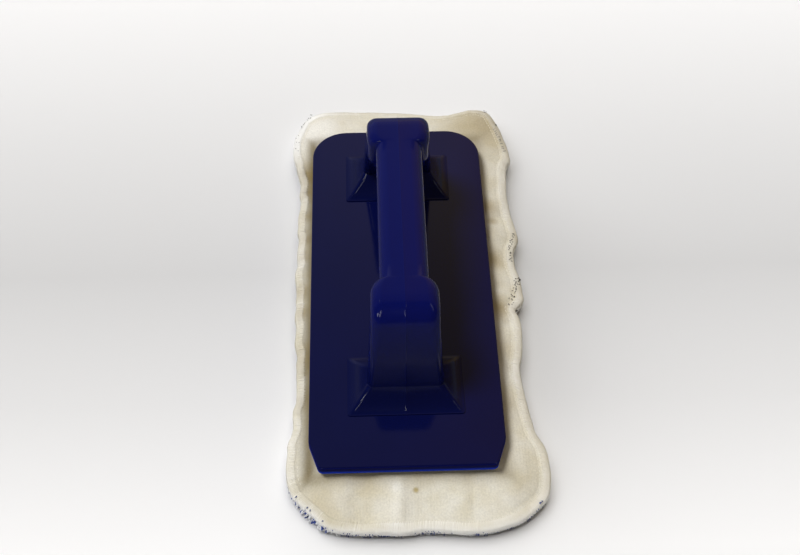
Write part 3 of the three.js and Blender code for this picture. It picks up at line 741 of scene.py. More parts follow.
# Needle thread along the inner ends of the stitches, one dash after the other where the seam shows. Each dash
# dips into the cloth at both ends.
NEEDLE_SPACING = 2.6
NEEDLE_LENGTH = 2.3
NEEDLE_RADIUS = 0.12
NEEDLE_RISE = [-0.24, 0.06, 0.11, 0.06, -0.24]
needle_ring = cloth_ring(SEAM_INSET)
needle_starts = np.arange(0, len(rim), NEEDLE_SPACING / RIM_STEP)
needle_starts = needle_starts[round_rim(seam_shown[:, None], needle_starts)[:, 0] > 0.5]
needle_steps = np.linspace(0, NEEDLE_LENGTH / RIM_STEP, len(NEEDLE_RISE))
needle_points = []
for step, rise in zip(needle_steps, NEEDLE_RISE):
    needle_points.append(round_rim(needle_ring, needle_starts + step) + (0, 0, rise))
needle_paths = np.stack(needle_points, axis=1)
needle_sides = raised(round_rim(inward, needle_starts), 0)
dashes = tubes(needle_paths, needle_sides, NEEDLE_RADIUS, THREAD_CORNERS)
add_piece("hem_needle_thread", *dashes, hem_thread, "pad", "hem_thread")

# Bits of blue yarn between the stitches: place, length along the rim, inset from and to, and how many.
BLUE_BITS = [
    (-52, -130, 14, 0.0, 1.2, 30), (-33, -141, 8, 0.0, 1.0, 14), (-20, -142, 7, 0.0, 0.9, 16),
    (6, -142, 6, 0.0, 0.9, 14), (12, -142, 1.5, 0.0, 0.9, 8), (17, -142.5, 4, 0.0, 1.0, 8),
    (35, -143.2, 4, 0.0, 0.9, 10), (46, -141.6, 9, 0.0, 0.9, 12), (63, -132, 9, 0.0, 1.1, 24),
]
BIT_RADIUS = 0.25
BIT_SINK = 0.3  # of its two ends
WALL_INSET = 1.0  # up to this inset a bit comes out of the roll's wall, and further in on its top
TOP_LIFT = 0.6  # of a bit over the cloth, on top
WALL_HIGH, WALL_SPAN, WALL_LIFT = 7.0, 4.0, 0.8  # where bits are on the wall, and how they follow the rim
bit_paths = []
bit_sides = []
bit_draw = random.Random(21)
for x, y, spread, first, last, count in BLUE_BITS:
    nearest = int(np.argmin(np.hypot(rim[:, 0] - x, rim[:, 1] - y)))
    for _ in range(count):
        at = np.array([nearest + bit_draw.uniform(-spread, spread) / RIM_STEP])
        inset = bit_draw.uniform(first, last)
        if inset > WALL_INSET:
            heights = cloth_ring(inset)[:, 2] + TOP_LIFT
        else:
            heights = WALL_HIGH - WALL_SPAN * bit_draw.random() + rim_lift * WALL_LIFT
        spot = round_rim(raised(pad_ring(inset), heights), at)[0]
        across = round_rim(inward, at)[0] * bit_draw.choice((-1, 1))
        along = round_rim(rim_way, at)[0] * bit_draw.uniform(-1, 1)
        way = (across + along) / np.linalg.norm(across + along)
        reach = np.array([*(bit_draw.uniform(0.3, 0.65) * way), 0])
        rise = bit_draw.uniform(0.0, 0.3)
        sunk = spot - (0, 0, BIT_SINK)
        bit_paths.append([sunk - reach, spot + (0, 0, rise), sunk + reach])
        bit_sides.append((-way[1], way[0], 0))
bits = tubes(bit_paths, bit_sides, BIT_RADIUS, THREAD_CORNERS)
add_piece("hem_yarn_bits", *bits, yarn_blue, "pad", "hem_thread")

# Mending stitches in dark grey polyester, where the hem has come loose on the right and at the rear corners:
# the line that they follow, their spacing, how far they stray from it, their length and their radius.
MENDS = [
    ([(68.0, 42.5), (64.0, 32), (63.8, 21)], 0.8, 0.9, 0.6, 0.2),
    ([(66.2, 9), (63.4, -2), (60.6, -10)], 0.7, 1.5, 0.6, 0.2),
    ([(66.8, 10.5), (66.4, 3)], 1.1, 1.0, 0.6, 0.2),
    ([(64.4, -12.6), (63.6, -14)], 0.6, 0.3, 0.9, 0.3),
    ([(67.9, 9), (67.9, 8)], 0.6, 0.2, 0.8, 0.28),
    ([(57.5, 143.4), (59.5, 142)], 0.9, 0.5, 0.7, 0.2),
    ([(64, 131.5), (64.6, 129.5)], 0.8, 0.4, 0.8, 0.24),
    ([(62.5, 127), (67.2, 107)], 2.0, 0.5, 2.2, 0.13),
    ([(-51, 143), (-59, 131)], 1.5, 1.3, 0.6, 0.17),
    ([(-61, 124), (-60.5, 112)], 2.4, 1.3, 0.5, 0.15),
]
MEND_SINK = 0.1  # of its two ends
MEND_REST = 4  # points of the hem that a stitch rests on

# Hard-twisted polyester thread: a little glossy and nearly black, so it shows as dark specks on the cream
# cloth.
grey_thread, tree, shader = start_material("twisted_polyester_thread_grey", Roughness=0.6)
place = add_node(tree, "TexCoord", {}).outputs["Object"]
ply = add_node(tree, "TexNoise", {"Vector": place, "Scale": 1 / (PLY_SPACING * MM)})
tint = add_node(tree, "ValToRGB", {"Fac": ply.outputs["Fac"]})
tint.color_ramp.elements[0].color = linear("#26241f")
tint.color_ramp.elements[1].color = linear("#57534a")
tree.links.new(tint.outputs["Color"], shader.inputs["Base Color"])

hem_surface = np.concatenate(cloth_rings + roll_top)
mends = {}
for line, spacing, stray, length, radius in MENDS:
    knots = np.array(line, float)
    travelled = np.concatenate([[0], np.cumsum(np.linalg.norm(np.diff(knots, axis=0), axis=1))])
    paths, sides = mends.setdefault(radius, ([], []))
    for at in np.arange(0, travelled[-1], spacing):
        x, y = (np.interp(at, travelled, knots[:, k]) + bit_draw.uniform(-stray, stray) for k in (0, 1))
        heading = math.radians(bit_draw.uniform(-20, 70))
        dx, dy = length / 2 * math.cos(heading), length / 2 * math.sin(heading)
        apart = np.hypot(hem_surface[:, 0] - x, hem_surface[:, 1] - y)
        top = hem_surface[np.argsort(apart)[:MEND_REST], 2].max()
        sunk = top - MEND_SINK
        paths.append([(x - dx, y - dy, sunk), (x, y, top + radius), (x + dx, y + dy, sunk)])
        sides.append((-math.sin(heading), math.cos(heading), 0))
for number, radius in enumerate(sorted(mends)):
    threads = tubes(*mends[radius], radius, THREAD_CORNERS)
    add_piece(f"hem_mend_stitches_{number + 1}", *threads, grey_thread, "pad", "hem_thread")


# Hook tape
# Two strips of black nylon hook tape stuck to the underside of the plate. Rows of bent monofilament hooks
# stand down from a woven ground and catch in the loops of the backing.

TAPE_GROUND = 1.0
TAPE_CORNER = 4.0
TAPE_CORNER_STEPS = 7
HOOK_SPACING = 2.4
HOOK_RADIUS = 0.22
HOOKS_FROM, HOOKS_TO = 2, 1.5  # bare edges of the tape
HOOK_SHAPE = [(0, 0.1), (0, -0.5), (0.25, -0.85), (0.65, -0.8), (0.85, -0.45)]  # along the tape, and up

# Nylon woven in close ribs across the tape: black with a dull shine on each rib.
woven_nylon, tree, shader = start_material("woven_nylon_black", Roughness=0.6)
place = add_node(tree, "TexCoord", {}).outputs["Object"]
RIB_SPACING = 0.8
weave = add_node(tree, "TexWave", {"Vector": place, "Scale": WAVE_PERIOD / (RIB_SPACING * MM)},
                 wave_type="BANDS", bands_direction="Y")
tint = add_node(tree, "ValToRGB", {"Fac": weave.outputs["Fac"]})
tint.color_ramp.elements[0].color = linear("#101013")
tint.color_ramp.elements[1].color = linear("#2a2a30")
bump = add_node(tree, "Bump", {"Height": weave.outputs["Fac"], "Strength": 0.5, "Distance": 0.2 * MM})
tree.links.new(tint.outputs["Color"], shader.inputs["Base Color"])
tree.links.new(bump.outputs["Normal"], shader.inputs["Normal"])

for side in ("left", "right"):
    low, high = (np.array(corner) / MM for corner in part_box(f"{side}_hook_tape"))
    middle = (low + high) / 2
    half = (high - low) / 2
    outline = []
    for sx, sy, start in ((1, -1, -90), (1, 1, 0), (-1, 1, 90), (-1, -1, 180)):
        for turn in np.radians(np.linspace(start, start + 90, TAPE_CORNER_STEPS)):
            outline.append((middle[0] + sx * (half[0] - TAPE_CORNER) + TAPE_CORNER * math.cos(turn),
                            middle[1] + sy * (half[1] - TAPE_CORNER) + TAPE_CORNER * math.sin(turn)))
    outline = np.array(outline)
    foot = high[2] - TAPE_GROUND
    ground = skin([raised(outline, foot), raised(outline, high[2])])
    tape = add_piece(f"{side}_tape_ground", *ground, woven_nylon, "holder", "hook_tape", 30)
    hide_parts(f"{side}_hook_tape")
    hooks = []
    for x in np.arange(low[0] + HOOKS_FROM, high[0] - HOOKS_TO, HOOK_SPACING):
        for y in np.arange(low[1] + HOOKS_FROM, high[1] - HOOKS_TO, HOOK_SPACING):
            hooks.append([(x, y + along, foot + up) for along, up in HOOK_SHAPE])
    hook_sides = np.tile([1.0, 0, 0], (len(hooks), 1))
    bent = tubes(hooks, hook_sides, HOOK_RADIUS, THREAD_CORNERS)
    add_piece(f"{side}_tape_hooks", *bent, woven_nylon, "holder", "hook_tape")


# Base plate
# Injection-moulded navy polypropylene, 6 mm thick, with two round corners at the rear and two cut corners in
# front. Its rim is rounded. Four countersunk holes from below take the handle's screws; the slab drawn here
# leaves them out.

plate_low, plate_high = (np.array(corner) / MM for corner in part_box("base_plate"))
plate_half = (plate_high - plate_low) / 2
PLATE_ROUND = 0.9
REAR_RADIUS = 20
CUT_WIDTH, CUT_LENGTH = 5.2, 15.2
CUT_ROUND, CUT_SIDE_ROUND = 3, 6  # where a cut meets the front, and where it meets the side
PLATE_CORNER_STEPS = 14


def rounded_polygon(corners, steps):
    """Polygon whose corners, given with radii, are rounded by arcs."""
    points = []
    for i, (x, y, radius) in enumerate(corners):
        corner = np.array([x, y])
        back = np.array(corners[i - 1][:2]) - corner
        on = np.array(corners[(i + 1) % len(corners)][:2]) - corner
        back, on = back / np.linalg.norm(back), on / np.linalg.norm(on)
        half_angle = math.acos(np.clip(back @ on, -1, 1)) / 2
        run = radius / math.tan(half_angle)
        centre = corner + (back + on) / np.linalg.norm(back + on) * radius / math.sin(half_angle)
        start, end = corner + back * run - centre, corner + on * run - centre
        sweep = math.pi - 2 * half_angle
        for u in np.linspace(0, 1, steps):
            spoke = start * math.sin((1 - u) * sweep) + end * math.sin(u * sweep)
            points.append(centre + spoke / np.linalg.norm(spoke) * radius)
    return np.array(points)


half_x, half_y = plate_half[:2]
plate_outline = rounded_polygon([
    (-half_x + CUT_WIDTH, -half_y, CUT_ROUND), (half_x - CUT_WIDTH, -half_y, CUT_ROUND),
    (half_x, -half_y + CUT_LENGTH, CUT_SIDE_ROUND), (half_x, half_y, REAR_RADIUS),
    (-half_x, half_y, REAR_RADIUS), (-half_x, -half_y + CUT_LENGTH, CUT_SIDE_ROUND),
], PLATE_CORNER_STEPS)


def plate_ring(inset, z):
    """Outline of the plate, drawn in by an inset and at a height."""
    return raised(plate_outline * (1 - inset / plate_half[:2]), z)


ROUND_STEPS = 6
round_turns = np.linspace(0, math.pi / 2, ROUND_STEPS + 1)
plate_rings = []
for turn in round_turns:
    inset = PLATE_ROUND * (1 - math.sin(turn))
    plate_rings.append(plate_ring(inset, plate_low[2] + PLATE_ROUND * (1 - math.cos(turn))))
for turn in round_turns:
    inset = PLATE_ROUND * (1 - math.cos(turn))
    plate_rings.append(plate_ring(inset, plate_high[2] - PLATE_ROUND * (1 - math.sin(turn))))

# Polypropylene moulded against a fine-grained steel: so dark a navy that it mirrors the handle's feet and the
# room as a pale bloom. The grain is drawn coarser than it is, so that it shows.
plate_plastic, tree, shader = start_material("moulded_polypropylene_navy_grained", Roughness=0.09, IOR=1.49,
                                             Specular_IOR_Level=0.65)
place = add_node(tree, "TexCoord", {}).outputs["Object"]
PLATE_CLOUD = 30
cloud = add_node(tree, "TexNoise", {"Vector": place, "Scale": 1 / (PLATE_CLOUD * MM), "Detail": 4.0})
tint = add_node(tree, "ValToRGB", {"Fac": cloud.outputs["Fac"]})
tint.color_ramp.elements[0].color = linear("#050933")
tint.color_ramp.elements[1].color = linear("#060b3b")
GRAIN_SIZE = 1.2
grain = add_node(tree, "TexNoise", {"Vector": place, "Scale": 1 / (GRAIN_SIZE * MM), "Detail": 2.0})
bump = add_node(tree, "Bump", {"Height": grain.outputs["Fac"], "Strength": 0.08, "Distance": 0.1 * MM})
tree.links.new(tint.outputs["Color"], shader.inputs["Base Color"])
tree.links.new(bump.outputs["Normal"], shader.inputs["Normal"])
plate = add_piece("plate_slab", *skin(plate_rings), plate_plastic, "holder", "plate_plastic", 40)
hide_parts("base_plate")

# The same plastic, scuffed along the plate's edge: knocks have dulled it, so it mirrors nothing. Its lower
# half is painted a brighter blue, as painted light bounced up from the cream pad, which shows as a thin line
# round the plate.
scuffed_plastic_painted_light, tree, shader = start_material("moulded_polypropylene_navy_scuffed_painted_light", Roughness=0.7, IOR=1.49,
                                               Specular_IOR_Level=0.05)
place = add_node(tree, "TexCoord", {}).outputs["Object"]
height = add_node(tree, "SeparateXYZ", {"Vector": place})
BOUNCE_LOW, BOUNCE_HIGH = 0.8, 3.2
# Painted light: the lower half of the edge is a brighter blue, for light bounced up from the pad.
painted_bounce = add_node(tree, "MapRange", {"Value": height.outputs["Z"],
                                    "From Min": (plate_low[2] + BOUNCE_LOW) * MM,
                                    "From Max": (plate_low[2] + BOUNCE_HIGH) * MM})
tint = add_node(tree, "ValToRGB", {"Fac": painted_bounce.outputs["Result"]})
tint.color_ramp.elements[0].color = linear("#1a3cc4")
tint.color_ramp.elements[1].color = linear("#060b48")
SCRATCH_SPACING = 0.8
scratches = add_node(tree, "TexNoise", {"Vector": place, "Scale": 1 / (SCRATCH_SPACING * MM)})
bump = add_node(tree, "Bump", {"Height": scratches.outputs["Fac"], "Strength": 0.1, "Distance": 0.1 * MM})
tree.links.new(tint.outputs["Color"], shader.inputs["Base Color"])
tree.links.new(bump.outputs["Normal"], shader.inputs["Normal"])
plate.data.materials.append(scuffed_plastic_painted_light)
UPRIGHT_LIMIT = 0.75
for face in plate.data.polygons:
    if abs(face.normal.z) < UPRIGHT_LIMIT:
        face.material_index = 1


# Handle
# One injection-moulded bow of navy polypropylene, made in a mould that parts on its middle plane and leaves a
# fine line there. Shoulders lead from the grip to two wider heads, and the legs flare out into square feet.

handle_low, handle_high = (np.array(corner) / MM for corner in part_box("handle"))
SEAM_HEIGHT = 0.35
SEAM_WIDTH = 1.2
SEAM_SHOWN = 0.14  # the mould line is worn down
HANDLE_MIDDLE = (handle_low[1] + handle_high[1]) / 2
HANDLE_FOOT = handle_low[2]
FOOT_GAP = HANDLE_FOOT - plate_high[2]
FOOT_CLEARANCE = 0.02  # from the foot's edge down to the plate
HANDLE_HEIGHT = handle_high[2] - handle_low[2] - SEAM_HEIGHT
LEG_OUTSIDE, LEG_THICKNESS, LEG_WIDTH, LEG_LEAN = 79.5, 14.5, 39.3, 0.24
SKIRT_REACH, SKIRT_HEIGHT, SKIRT_LIP, SKIRT_CORNER = 10.5, 11.5, 0.35, 1.4
SKIRT_SLOPE = 0.6  # share of the flare that is a plain slope, which leaves a crease under the leg
CREASE = 0.3  # height over which the leg turns into the skirt
HEAD_WIDTH, HEAD_FLAT, SHOULDER_RUN = 34.5, 11.2, 8
GRIP_WIDTH, GRIP_DEPTH = 25, 23
BOW_RADIUS, GAP_RADIUS, SECTION_RADIUS = 14, 12, 6.5
LEG_CORNER = 3.2
LEG_SWEEP = 0.85  # how far the legs' outer faces sweep out towards the skirt
SWEEP_TOP, SWEEP_CURVE = 28, 2.25  # height at which they start to, and how late they do it
LEAN_ANGLE = math.atan(LEG_LEAN)
LEG_INSIDE = LEG_OUTSIDE - LEG_THICKNESS
GRIP_UNDERSIDE = HANDLE_HEIGHT - GRIP_DEPTH
QUARTER = math.pi / 2


def leaning(base, z):
    """Place of a leg's face at a height, from its place just above the skirt."""
    return base - LEG_LEAN * (z - SKIRT_HEIGHT)


def bow_arc(base, level, radius, angle):
    """Point on the arc that rounds a leg's face into a level face."""
    z = level - radius
    y = leaning(base, z + radius * math.sin(LEAN_ANGLE)) - radius * math.cos(LEAN_ANGLE)
    return np.array([y + radius * math.cos(angle), z + radius * math.sin(angle)])


def outside_arc(angle):
    """Point on the outside of the bow."""
    return bow_arc(LEG_OUTSIDE, HANDLE_HEIGHT, BOW_RADIUS, angle)


def inside_arc(angle):
    """Point on the inside of the bow, over the hand's gap."""
    return bow_arc(LEG_INSIDE, GRIP_UNDERSIDE, GAP_RADIUS, angle)


SHOULDER_START = outside_arc(QUARTER)[0] - HEAD_FLAT
SHOULDER_END = SHOULDER_START + SHOULDER_RUN


def skirt_flare(z):
    """How far the skirt stands out at a height, along a hollow curve over a plain slope."""
    share = np.clip((SKIRT_HEIGHT - z) / (SKIRT_HEIGHT - SKIRT_LIP), 0, 1)
    hollow = 1 - np.sqrt(1 - share ** 2)
    return SKIRT_REACH * (hollow + (share - hollow) * SKIRT_SLOPE)


def leg_sweep(z):
    """How far a leg's outer face sweeps out at a height above the skirt."""
    return LEG_SWEEP * np.clip((SWEEP_TOP - z) / (SWEEP_TOP - SKIRT_HEIGHT), 0, 1) ** SWEEP_CURVE


def half_width(y, z):
    """Half the handle's width, from the grip over the shoulders and heads to the legs and skirts."""
    before = np.clip((SHOULDER_END - np.abs(y)) / SHOULDER_RUN, 0, 1)
    shoulder = np.sqrt(1 - before ** 2)
    head_foot = HANDLE_HEIGHT - BOW_RADIUS
    below = np.clip((head_foot - z) / (head_foot - SKIRT_HEIGHT), 0, 1)
    outer = (HEAD_WIDTH + (LEG_WIDTH - HEAD_WIDTH) * below) / 2
    return GRIP_WIDTH / 2 + (outer - GRIP_WIDTH / 2) * shoulder + skirt_flare(z)


# Ribs from the inside of the bow to its outside, from the rear foot up to the middle of the grip.
SKIRT_RIBS, LEG_RIBS, BOW_RIBS, SHOULDER_RIBS, GRIP_RIBS = 15, 16, 20, 18, 7
FIRST_LEG_RIB = 0.01  # share of the leg's height, so close to the skirt that the crease stays sharp
ribs = []
skirt_levels = SKIRT_HEIGHT - (SKIRT_HEIGHT - SKIRT_LIP) * np.cos(np.linspace(0, QUARTER, SKIRT_RIBS))
for z in [FOOT_CLEARANCE - FOOT_GAP, *skirt_levels[:-1], SKIRT_HEIGHT - CREASE, SKIRT_HEIGHT]:
    outer_y = LEG_OUTSIDE + LEG_SWEEP * max(z, 0) / SKIRT_HEIGHT + skirt_flare(z)
    ribs.append(((LEG_INSIDE - skirt_flare(z), z), (outer_y, z)))
for u in [FIRST_LEG_RIB, *np.linspace(0, 1, LEG_RIBS)[1:]]:
    inner_z = SKIRT_HEIGHT + u * (inside_arc(LEAN_ANGLE)[1] - SKIRT_HEIGHT)
    outer_z = SKIRT_HEIGHT + u * (outside_arc(LEAN_ANGLE)[1] - SKIRT_HEIGHT)
    outer_y = leaning(LEG_OUTSIDE, outer_z) + leg_sweep(outer_z)
    ribs.append(((leaning(LEG_INSIDE, inner_z), inner_z), (outer_y, outer_z)))
inside_middle = inside_arc(QUARTER)[0]
inside_end = math.acos((SHOULDER_END - inside_middle) / GAP_RADIUS)
for u in np.linspace(0, 1, BOW_RIBS)[1:]:
    ribs.append((inside_arc(LEAN_ANGLE + u * (inside_end - LEAN_ANGLE)),
                 outside_arc(LEAN_ANGLE + u * (QUARTER - LEAN_ANGLE))))
for turn in np.linspace(0, QUARTER, SHOULDER_RIBS):
    y = SHOULDER_START + SHOULDER_RUN * math.cos(turn)
    past = np.clip((y - inside_middle) / GAP_RADIUS, 0, 1)
    ribs.append(((y, GRIP_UNDERSIDE - GAP_RADIUS * (1 - math.sqrt(1 - past ** 2))), (y, HANDLE_HEIGHT)))
for y in np.linspace(SHOULDER_START, 0, GRIP_RIBS)[1:]:
    ribs.append(((y, GRIP_UNDERSIDE), (y, HANDLE_HEIGHT)))

CORNER_TURNS = np.linspace(0, QUARTER, 11)
WALL_POINTS = 7
SEAM_POINTS = np.linspace(-1, 1, 7)
# The edges are sharper at the foot than at the grip: heights, and the radius at each.
EDGE_HEIGHTS = [0, SKIRT_HEIGHT, GRIP_UNDERSIDE]
EDGE_RADII = [SKIRT_CORNER, LEG_CORNER, SECTION_RADIUS]


def rib_section(inner, outer):
    """Rounded section on a rib, with the mould line on its outside."""
    inner, outer = np.array(inner, float), np.array(outer, float)
    length = np.linalg.norm(outer - inner)
    radius = np.interp(inner[1], EDGE_HEIGHTS, EDGE_RADII)
    points = []

    def add_point(x, out):
        y, z = inner + (outer - inner) * out / length
        points.append((x, y, z))

    def add_corner(side, outside, turns):
        for turn in turns:
            drop = radius * (1 - math.sin(turn))
            out = length - drop if outside else drop
            y, z = inner + (outer - inner) * out / length
            add_point(side * (half_width(y, z) - radius * (1 - math.cos(turn))), out)

    def add_wall(side, outs):
        for out in outs:
            y, z = inner + (outer - inner) * out / length
            add_point(side * half_width(y, z), out)

    wall = np.linspace(radius, length - radius, WALL_POINTS)[1:-1]
    add_corner(1, False, CORNER_TURNS)
    add_corner(-1, False, CORNER_TURNS[::-1])
    add_wall(-1, wall)
    add_corner(-1, True, CORNER_TURNS)
    for share in SEAM_POINTS:
        add_point(share * SEAM_WIDTH / 2, length + SEAM_SHOWN * (0.5 + 0.5 * math.cos(math.pi * share)))
    add_corner(1, True, CORNER_TURNS[::-1])
    add_wall(1, wall[::-1])
    return np.array(points)


front_ribs = [tuple((-y, z) for y, z in rib) for rib in ribs]
bow_rings = [rib_section(*rib) + (0, HANDLE_MIDDLE, HANDLE_FOOT) for rib in front_ribs + ribs[-2::-1]]

# Polypropylene from a polished mould, handled smooth: a brighter navy than the plate, with sharp small
# highlights from each lamp and a slight ripple in them, and painted shade that darkens it towards the feet.
handle_plastic, tree, shader = start_material("moulded_polypropylene_navy_gloss", Roughness=0.14, IOR=1.49,
                                             Specular_IOR_Level=0.42)
place = add_node(tree, "TexCoord", {}).outputs["Object"]
HANDLE_CLOUD = 25
cloud = add_node(tree, "TexNoise", {"Vector": place, "Scale": 1 / (HANDLE_CLOUD * MM), "Detail": 4.0})
tint = add_node(tree, "ValToRGB", {"Fac": cloud.outputs["Fac"]})
tint.color_ramp.elements[0].color = linear("#050b48")
tint.color_ramp.elements[1].color = linear("#070e51")
FLOW_SIZE = 6  # of the ripple that the plastic's flow leaves
flow = add_node(tree, "TexNoise", {"Vector": place, "Scale": 1 / (FLOW_SIZE * MM), "Detail": 1.0})
bump = add_node(tree, "Bump", {"Height": flow.outputs["Fac"], "Strength": 0.03, "Distance": 0.3 * MM})
apart = add_node(tree, "SeparateXYZ", {"Vector": place})
# Painted shade: the navy darkens towards the feet, where less light reaches the legs.
SHADE_FULL_BELOW = HANDLE_FOOT + 0.8 * SKIRT_HEIGHT
SHADE_GONE_ABOVE = HANDLE_FOOT + 4.5 * SKIRT_HEIGHT
painted_shade_near_foot = add_node(tree, "MapRange", {"Value": apart.outputs["Z"], "From Min": SHADE_FULL_BELOW * MM,
                                        "From Max": SHADE_GONE_ABOVE * MM, "To Min": 1.0, "To Max": 0.0})
shaded_towards_foot = add_node(tree, "Mix", {0: painted_shade_near_foot.outputs["Result"], 6: tint.outputs["Color"],
                                  7: linear("#050a36")}, data_type="RGBA")
tree.links.new(shaded_towards_foot.outputs[2], shader.inputs["Base Color"])
tree.links.new(bump.outputs["Normal"], shader.inputs["Normal"])
handle = add_piece("bow_handle", *skin(bow_rings), handle_plastic, "holder", "handle_plastic", 35)
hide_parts("handle")


# Screws
# Zinc-plated steel countersunk screws, driven up through the plate into the handle's legs and then covered by
# the hook tape.

# Steel with a thin coat of zinc: pale bluish metal with a faint mottle of crystals, drawn coarser than they
# are, so that it shows.
zinc_steel, tree, shader = start_material("zinc_plated_steel", Roughness=0.3, Metallic=1.0)
place = add_node(tree, "TexCoord", {}).outputs["Object"]
CRYSTAL_SIZE = 1.5
plating = add_node(tree, "TexNoise", {"Vector": place, "Scale": 1 / (CRYSTAL_SIZE * MM)})
tint = add_node(tree, "ValToRGB", {"Fac": plating.outputs["Fac"]})
tint.color_ramp.elements[0].color = linear("#a4a7aa")
tint.color_ramp.elements[1].color = linear("#c9ccce")
tree.links.new(tint.outputs["Color"], shader.inputs["Base Color"])
for name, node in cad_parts.items():
    if name.endswith("_screw"):
        node.data.materials.clear()
        node.data.materials.append(zinc_steel)


# Studio
# A matt pale floor under a wide sky of its own. The object has a soft key light high on the left, a weak sky,
# weak fills from the front and the right, and three rows of small lamps that mirror in the plastic.
# The room is dim, and the camera is the photograph's.

# Matt card: pale and without gloss, so that only the soft shadow shows. It is darker in a band across the
# middle, which fades out to both sides: metres along, and tone.
floor_material, tree, shader = start_material("matt_pale_card", Roughness=0.9, Specular_IOR_Level=0.1)
place = add_node(tree, "TexCoord", {}).outputs["Object"]
apart = add_node(tree, "SeparateXYZ", {"Vector": place})
FLOOR_FROM, FLOOR_TO = -0.2, 0.3
FLOOR_TONES = [(-0.15, "#f8f8f8"), (-0.063, "#e2e2e2"), (0.025, "#d1d1d1"), (0.129, "#e1e1e1"),
               (0.263, "#f5f5f5")]
along = add_node(tree, "MapRange", {"Value": apart.outputs["Y"], "From Min": FLOOR_FROM,
                                    "From Max": FLOOR_TO})
tone = add_node(tree, "ValToRGB", {"Fac": along.outputs["Result"]})
FIRST_STOPS = 2  # that a ramp of tones starts with
stops = tone.color_ramp.elements
for number, (y, code) in enumerate(FLOOR_TONES):
    share = (y - FLOOR_FROM) / (FLOOR_TO - FLOOR_FROM)
    stop = stops[number] if number < FIRST_STOPS else stops.new(share)
    stop.position = share
    stop.color = linear(code)
DARK_TO, PALE_FROM = 0.26, 0.7  # metres to each side
aside = add_node(tree, "Math", {0: apart.outputs["X"]}, operation="ABSOLUTE")
far = add_node(tree, "MapRange", {"Value": aside.outputs["Value"], "From Min": DARK_TO,
                                  "From Max": PALE_FROM}, interpolation_type="SMOOTHSTEP")
faded = add_node(tree, "Mix", {0: far.outputs["Result"], 6: tone.outputs["Color"], 7: linear("#f5f5f5")},
                 data_type="RGBA")
tree.links.new(faded.outputs[2], shader.inputs["Base Color"])
FLOOR_REACH = 30.0
floor_mesh = bpy.data.meshes.new("floor")
floor_mesh.from_pydata([(-FLOOR_REACH, -FLOOR_REACH, 0), (FLOOR_REACH, -FLOOR_REACH, 0),
                        (FLOOR_REACH, FLOOR_REACH, 0), (-FLOOR_REACH, FLOOR_REACH, 0)], [], [(0, 1, 2, 3)])
floor_mesh.materials.append(floor_material)
floor = bpy.data.objects.new("floor", floor_mesh)
bpy.context.scene.collection.objects.link(floor)
floor.visible_glossy = False

# The floor's sky lights the floor alone and the other lights the object alone, so that a soft shadow lies all
# round the pad.
floor_alone = bpy.data.collections.new("floor_alone")
floor_alone.objects.link(floor)
all_but_floor = bpy.data.collections.new("all_but_floor")
all_but_floor.objects.link(floor)
all_but_floor.collection_objects[0].light_linking.link_state = "EXCLUDE"


def add_light(name, azimuth, elevation, width, strength, mirrored, lit, colour="#ffffff"):
    """Distant light. The azimuth is from the front to the right, the width is the angle it fills."""
    data = bpy.data.lights.new(name, "SUN")
    data.angle = math.radians(width)
    data.energy = strength
    data.color = linear(colour)[:3]
    light = bpy.data.objects.new(name, data)
    light.visible_glossy = mirrored
    light.light_linking.receiver_collection = lit
    turn, rise = math.radians(azimuth), math.radians(elevation)
    towards = Vector((math.sin(turn) * math.cos(rise), -math.cos(turn) * math.cos(rise), math.sin(rise)))
    light.rotation_euler = towards.to_track_quat("Z", "Y").to_euler()
    bpy.context.scene.collection.objects.link(light)


add_light("key", -100, 64, 20, 2.66, False, all_but_floor)
add_light("sky", 0, 90, 140, 0.2, False, all_but_floor)
add_light("front_fill", 5, 42, 60, 0.13, False, all_but_floor)
add_light("right_fill", 100, 45, 60, 0.26, False, all_but_floor, "#ffe8c4")
add_light("floor_sky", -150, 46, 98, 4.2, False, floor_alone)

# Rows of lamps, one above the other: azimuth, strength of each and elevations.
LAMP_WIDTH = 5
LAMP_ROWS = [(-24, 0.045, (31, 37, 43, 49)), (-48, 0.07, (26, 31)), (62, 0.015, (38, 46, 54, 62))]
for row, (azimuth, strength, elevations) in enumerate(LAMP_ROWS):
    for number, elevation in enumerate(elevations):
        add_light(f"lamp_{row}_{number}", azimuth, elevation, LAMP_WIDTH, strength, True, all_but_floor)

# Dim room over a dull ground: dark in front and lighter towards the rear, by direction and light, and bluish
# on the left and brown on the right, by direction and share of red, green and blue.
ROOM_TONES = [(-0.08, 0.03), (0.06, 0.09), (0.54, 0.115), (0.62, 0.15), (0.75, 0.25)]
WALL_REACH = 0.2
WALL_TINTS = [(-WALL_REACH, (0.95, 0.95, 1.25, 1)), (0, (1.0, 0.87, 0.85, 1)),
              (WALL_REACH, (1.32, 0.92, 0.3, 1))]
GROUND_LIGHT = (0.14, 0.14, 0.15, 1)
world = bpy.data.worlds.new("studio")
world.use_nodes = True
tree = world.node_tree
place = add_node(tree, "TexCoord", {}).outputs["Generated"]
apart = add_node(tree, "SeparateXYZ", {"Vector": place})
rearward = add_node(tree, "MapRange", {"Value": apart.outputs["Y"], "From Min": -1.0, "From Max": 1.0})
glow = add_node(tree, "ValToRGB", {"Fac": rearward.outputs["Result"]})
stops = glow.color_ramp.elements
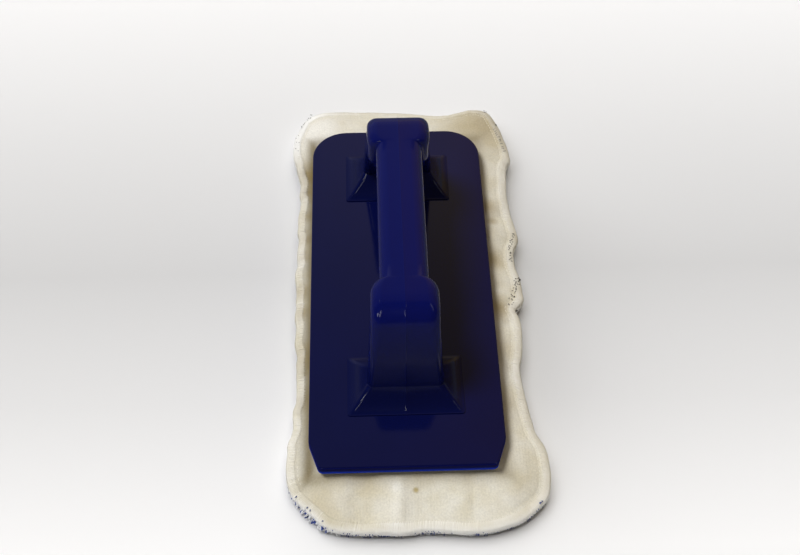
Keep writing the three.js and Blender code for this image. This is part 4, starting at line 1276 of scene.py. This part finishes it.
for number, (y, light) in enumerate(ROOM_TONES):
    share = (y + 1) / 2
    stop = stops[number] if number < FIRST_STOPS else stops.new(share)
    stop.position = share
    stop.color = (light, light, light, 1)
rightward = add_node(tree, "MapRange", {"Value": apart.outputs["X"], "From Min": -WALL_REACH,
                                        "From Max": WALL_REACH})
walls = add_node(tree, "ValToRGB", {"Fac": rightward.outputs["Result"]})
stops = walls.color_ramp.elements
for number, (x, tint) in enumerate(WALL_TINTS):
    share = (x / WALL_REACH + 1) / 2
    stop = stops[number] if number < FIRST_STOPS else stops.new(share)
    stop.position = share
    stop.color = tint
tinted = add_node(tree, "Mix", {0: 1.0, 6: glow.outputs["Color"], 7: walls.outputs["Color"]},
                  data_type="RGBA", blend_type="MULTIPLY")
below = add_node(tree, "Math", {0: apart.outputs["Z"], 1: 0.0}, operation="LESS_THAN")
room = add_node(tree, "Mix", {0: below.outputs["Value"], 6: tinted.outputs[2], 7: GROUND_LIGHT},
                data_type="RGBA")
tree.links.new(room.outputs[2], tree.nodes["Background"].inputs["Color"])
bpy.context.scene.world = world
bpy.context.scene.view_settings.view_transform = "Standard"

ELEVATION, AZIMUTH, ROLL = (math.radians(angle) for angle in (53.0, -2.179, 0.453))
DISTANCE = 0.66163
TARGET = Vector((-0.0005, 0.00275, plate_high[2] * MM))
FOCAL_PIXELS, PHOTO_WIDTH = 1188.5, 800
SENSOR_WIDTH = 36
ahead = math.cos(ELEVATION)
back = Vector((math.sin(AZIMUTH) * ahead, -math.cos(AZIMUTH) * ahead, math.sin(ELEVATION)))
level = Vector((math.cos(AZIMUTH), math.sin(AZIMUTH), 0))
upright = back.cross(level)
across = level * math.cos(ROLL) + upright * math.sin(ROLL)
camera_data = bpy.data.cameras.new("camera")
camera_data.sensor_width = SENSOR_WIDTH
camera_data.lens = FOCAL_PIXELS * SENSOR_WIDTH / PHOTO_WIDTH
camera = bpy.data.objects.new("camera", camera_data)
turned = Matrix((across, back.cross(across), back)).transposed()
camera.matrix_world = Matrix.Translation(TARGET + back * DISTANCE) @ turned.to_4x4()
bpy.context.scene.collection.objects.link(camera)
bpy.context.scene.camera = camera
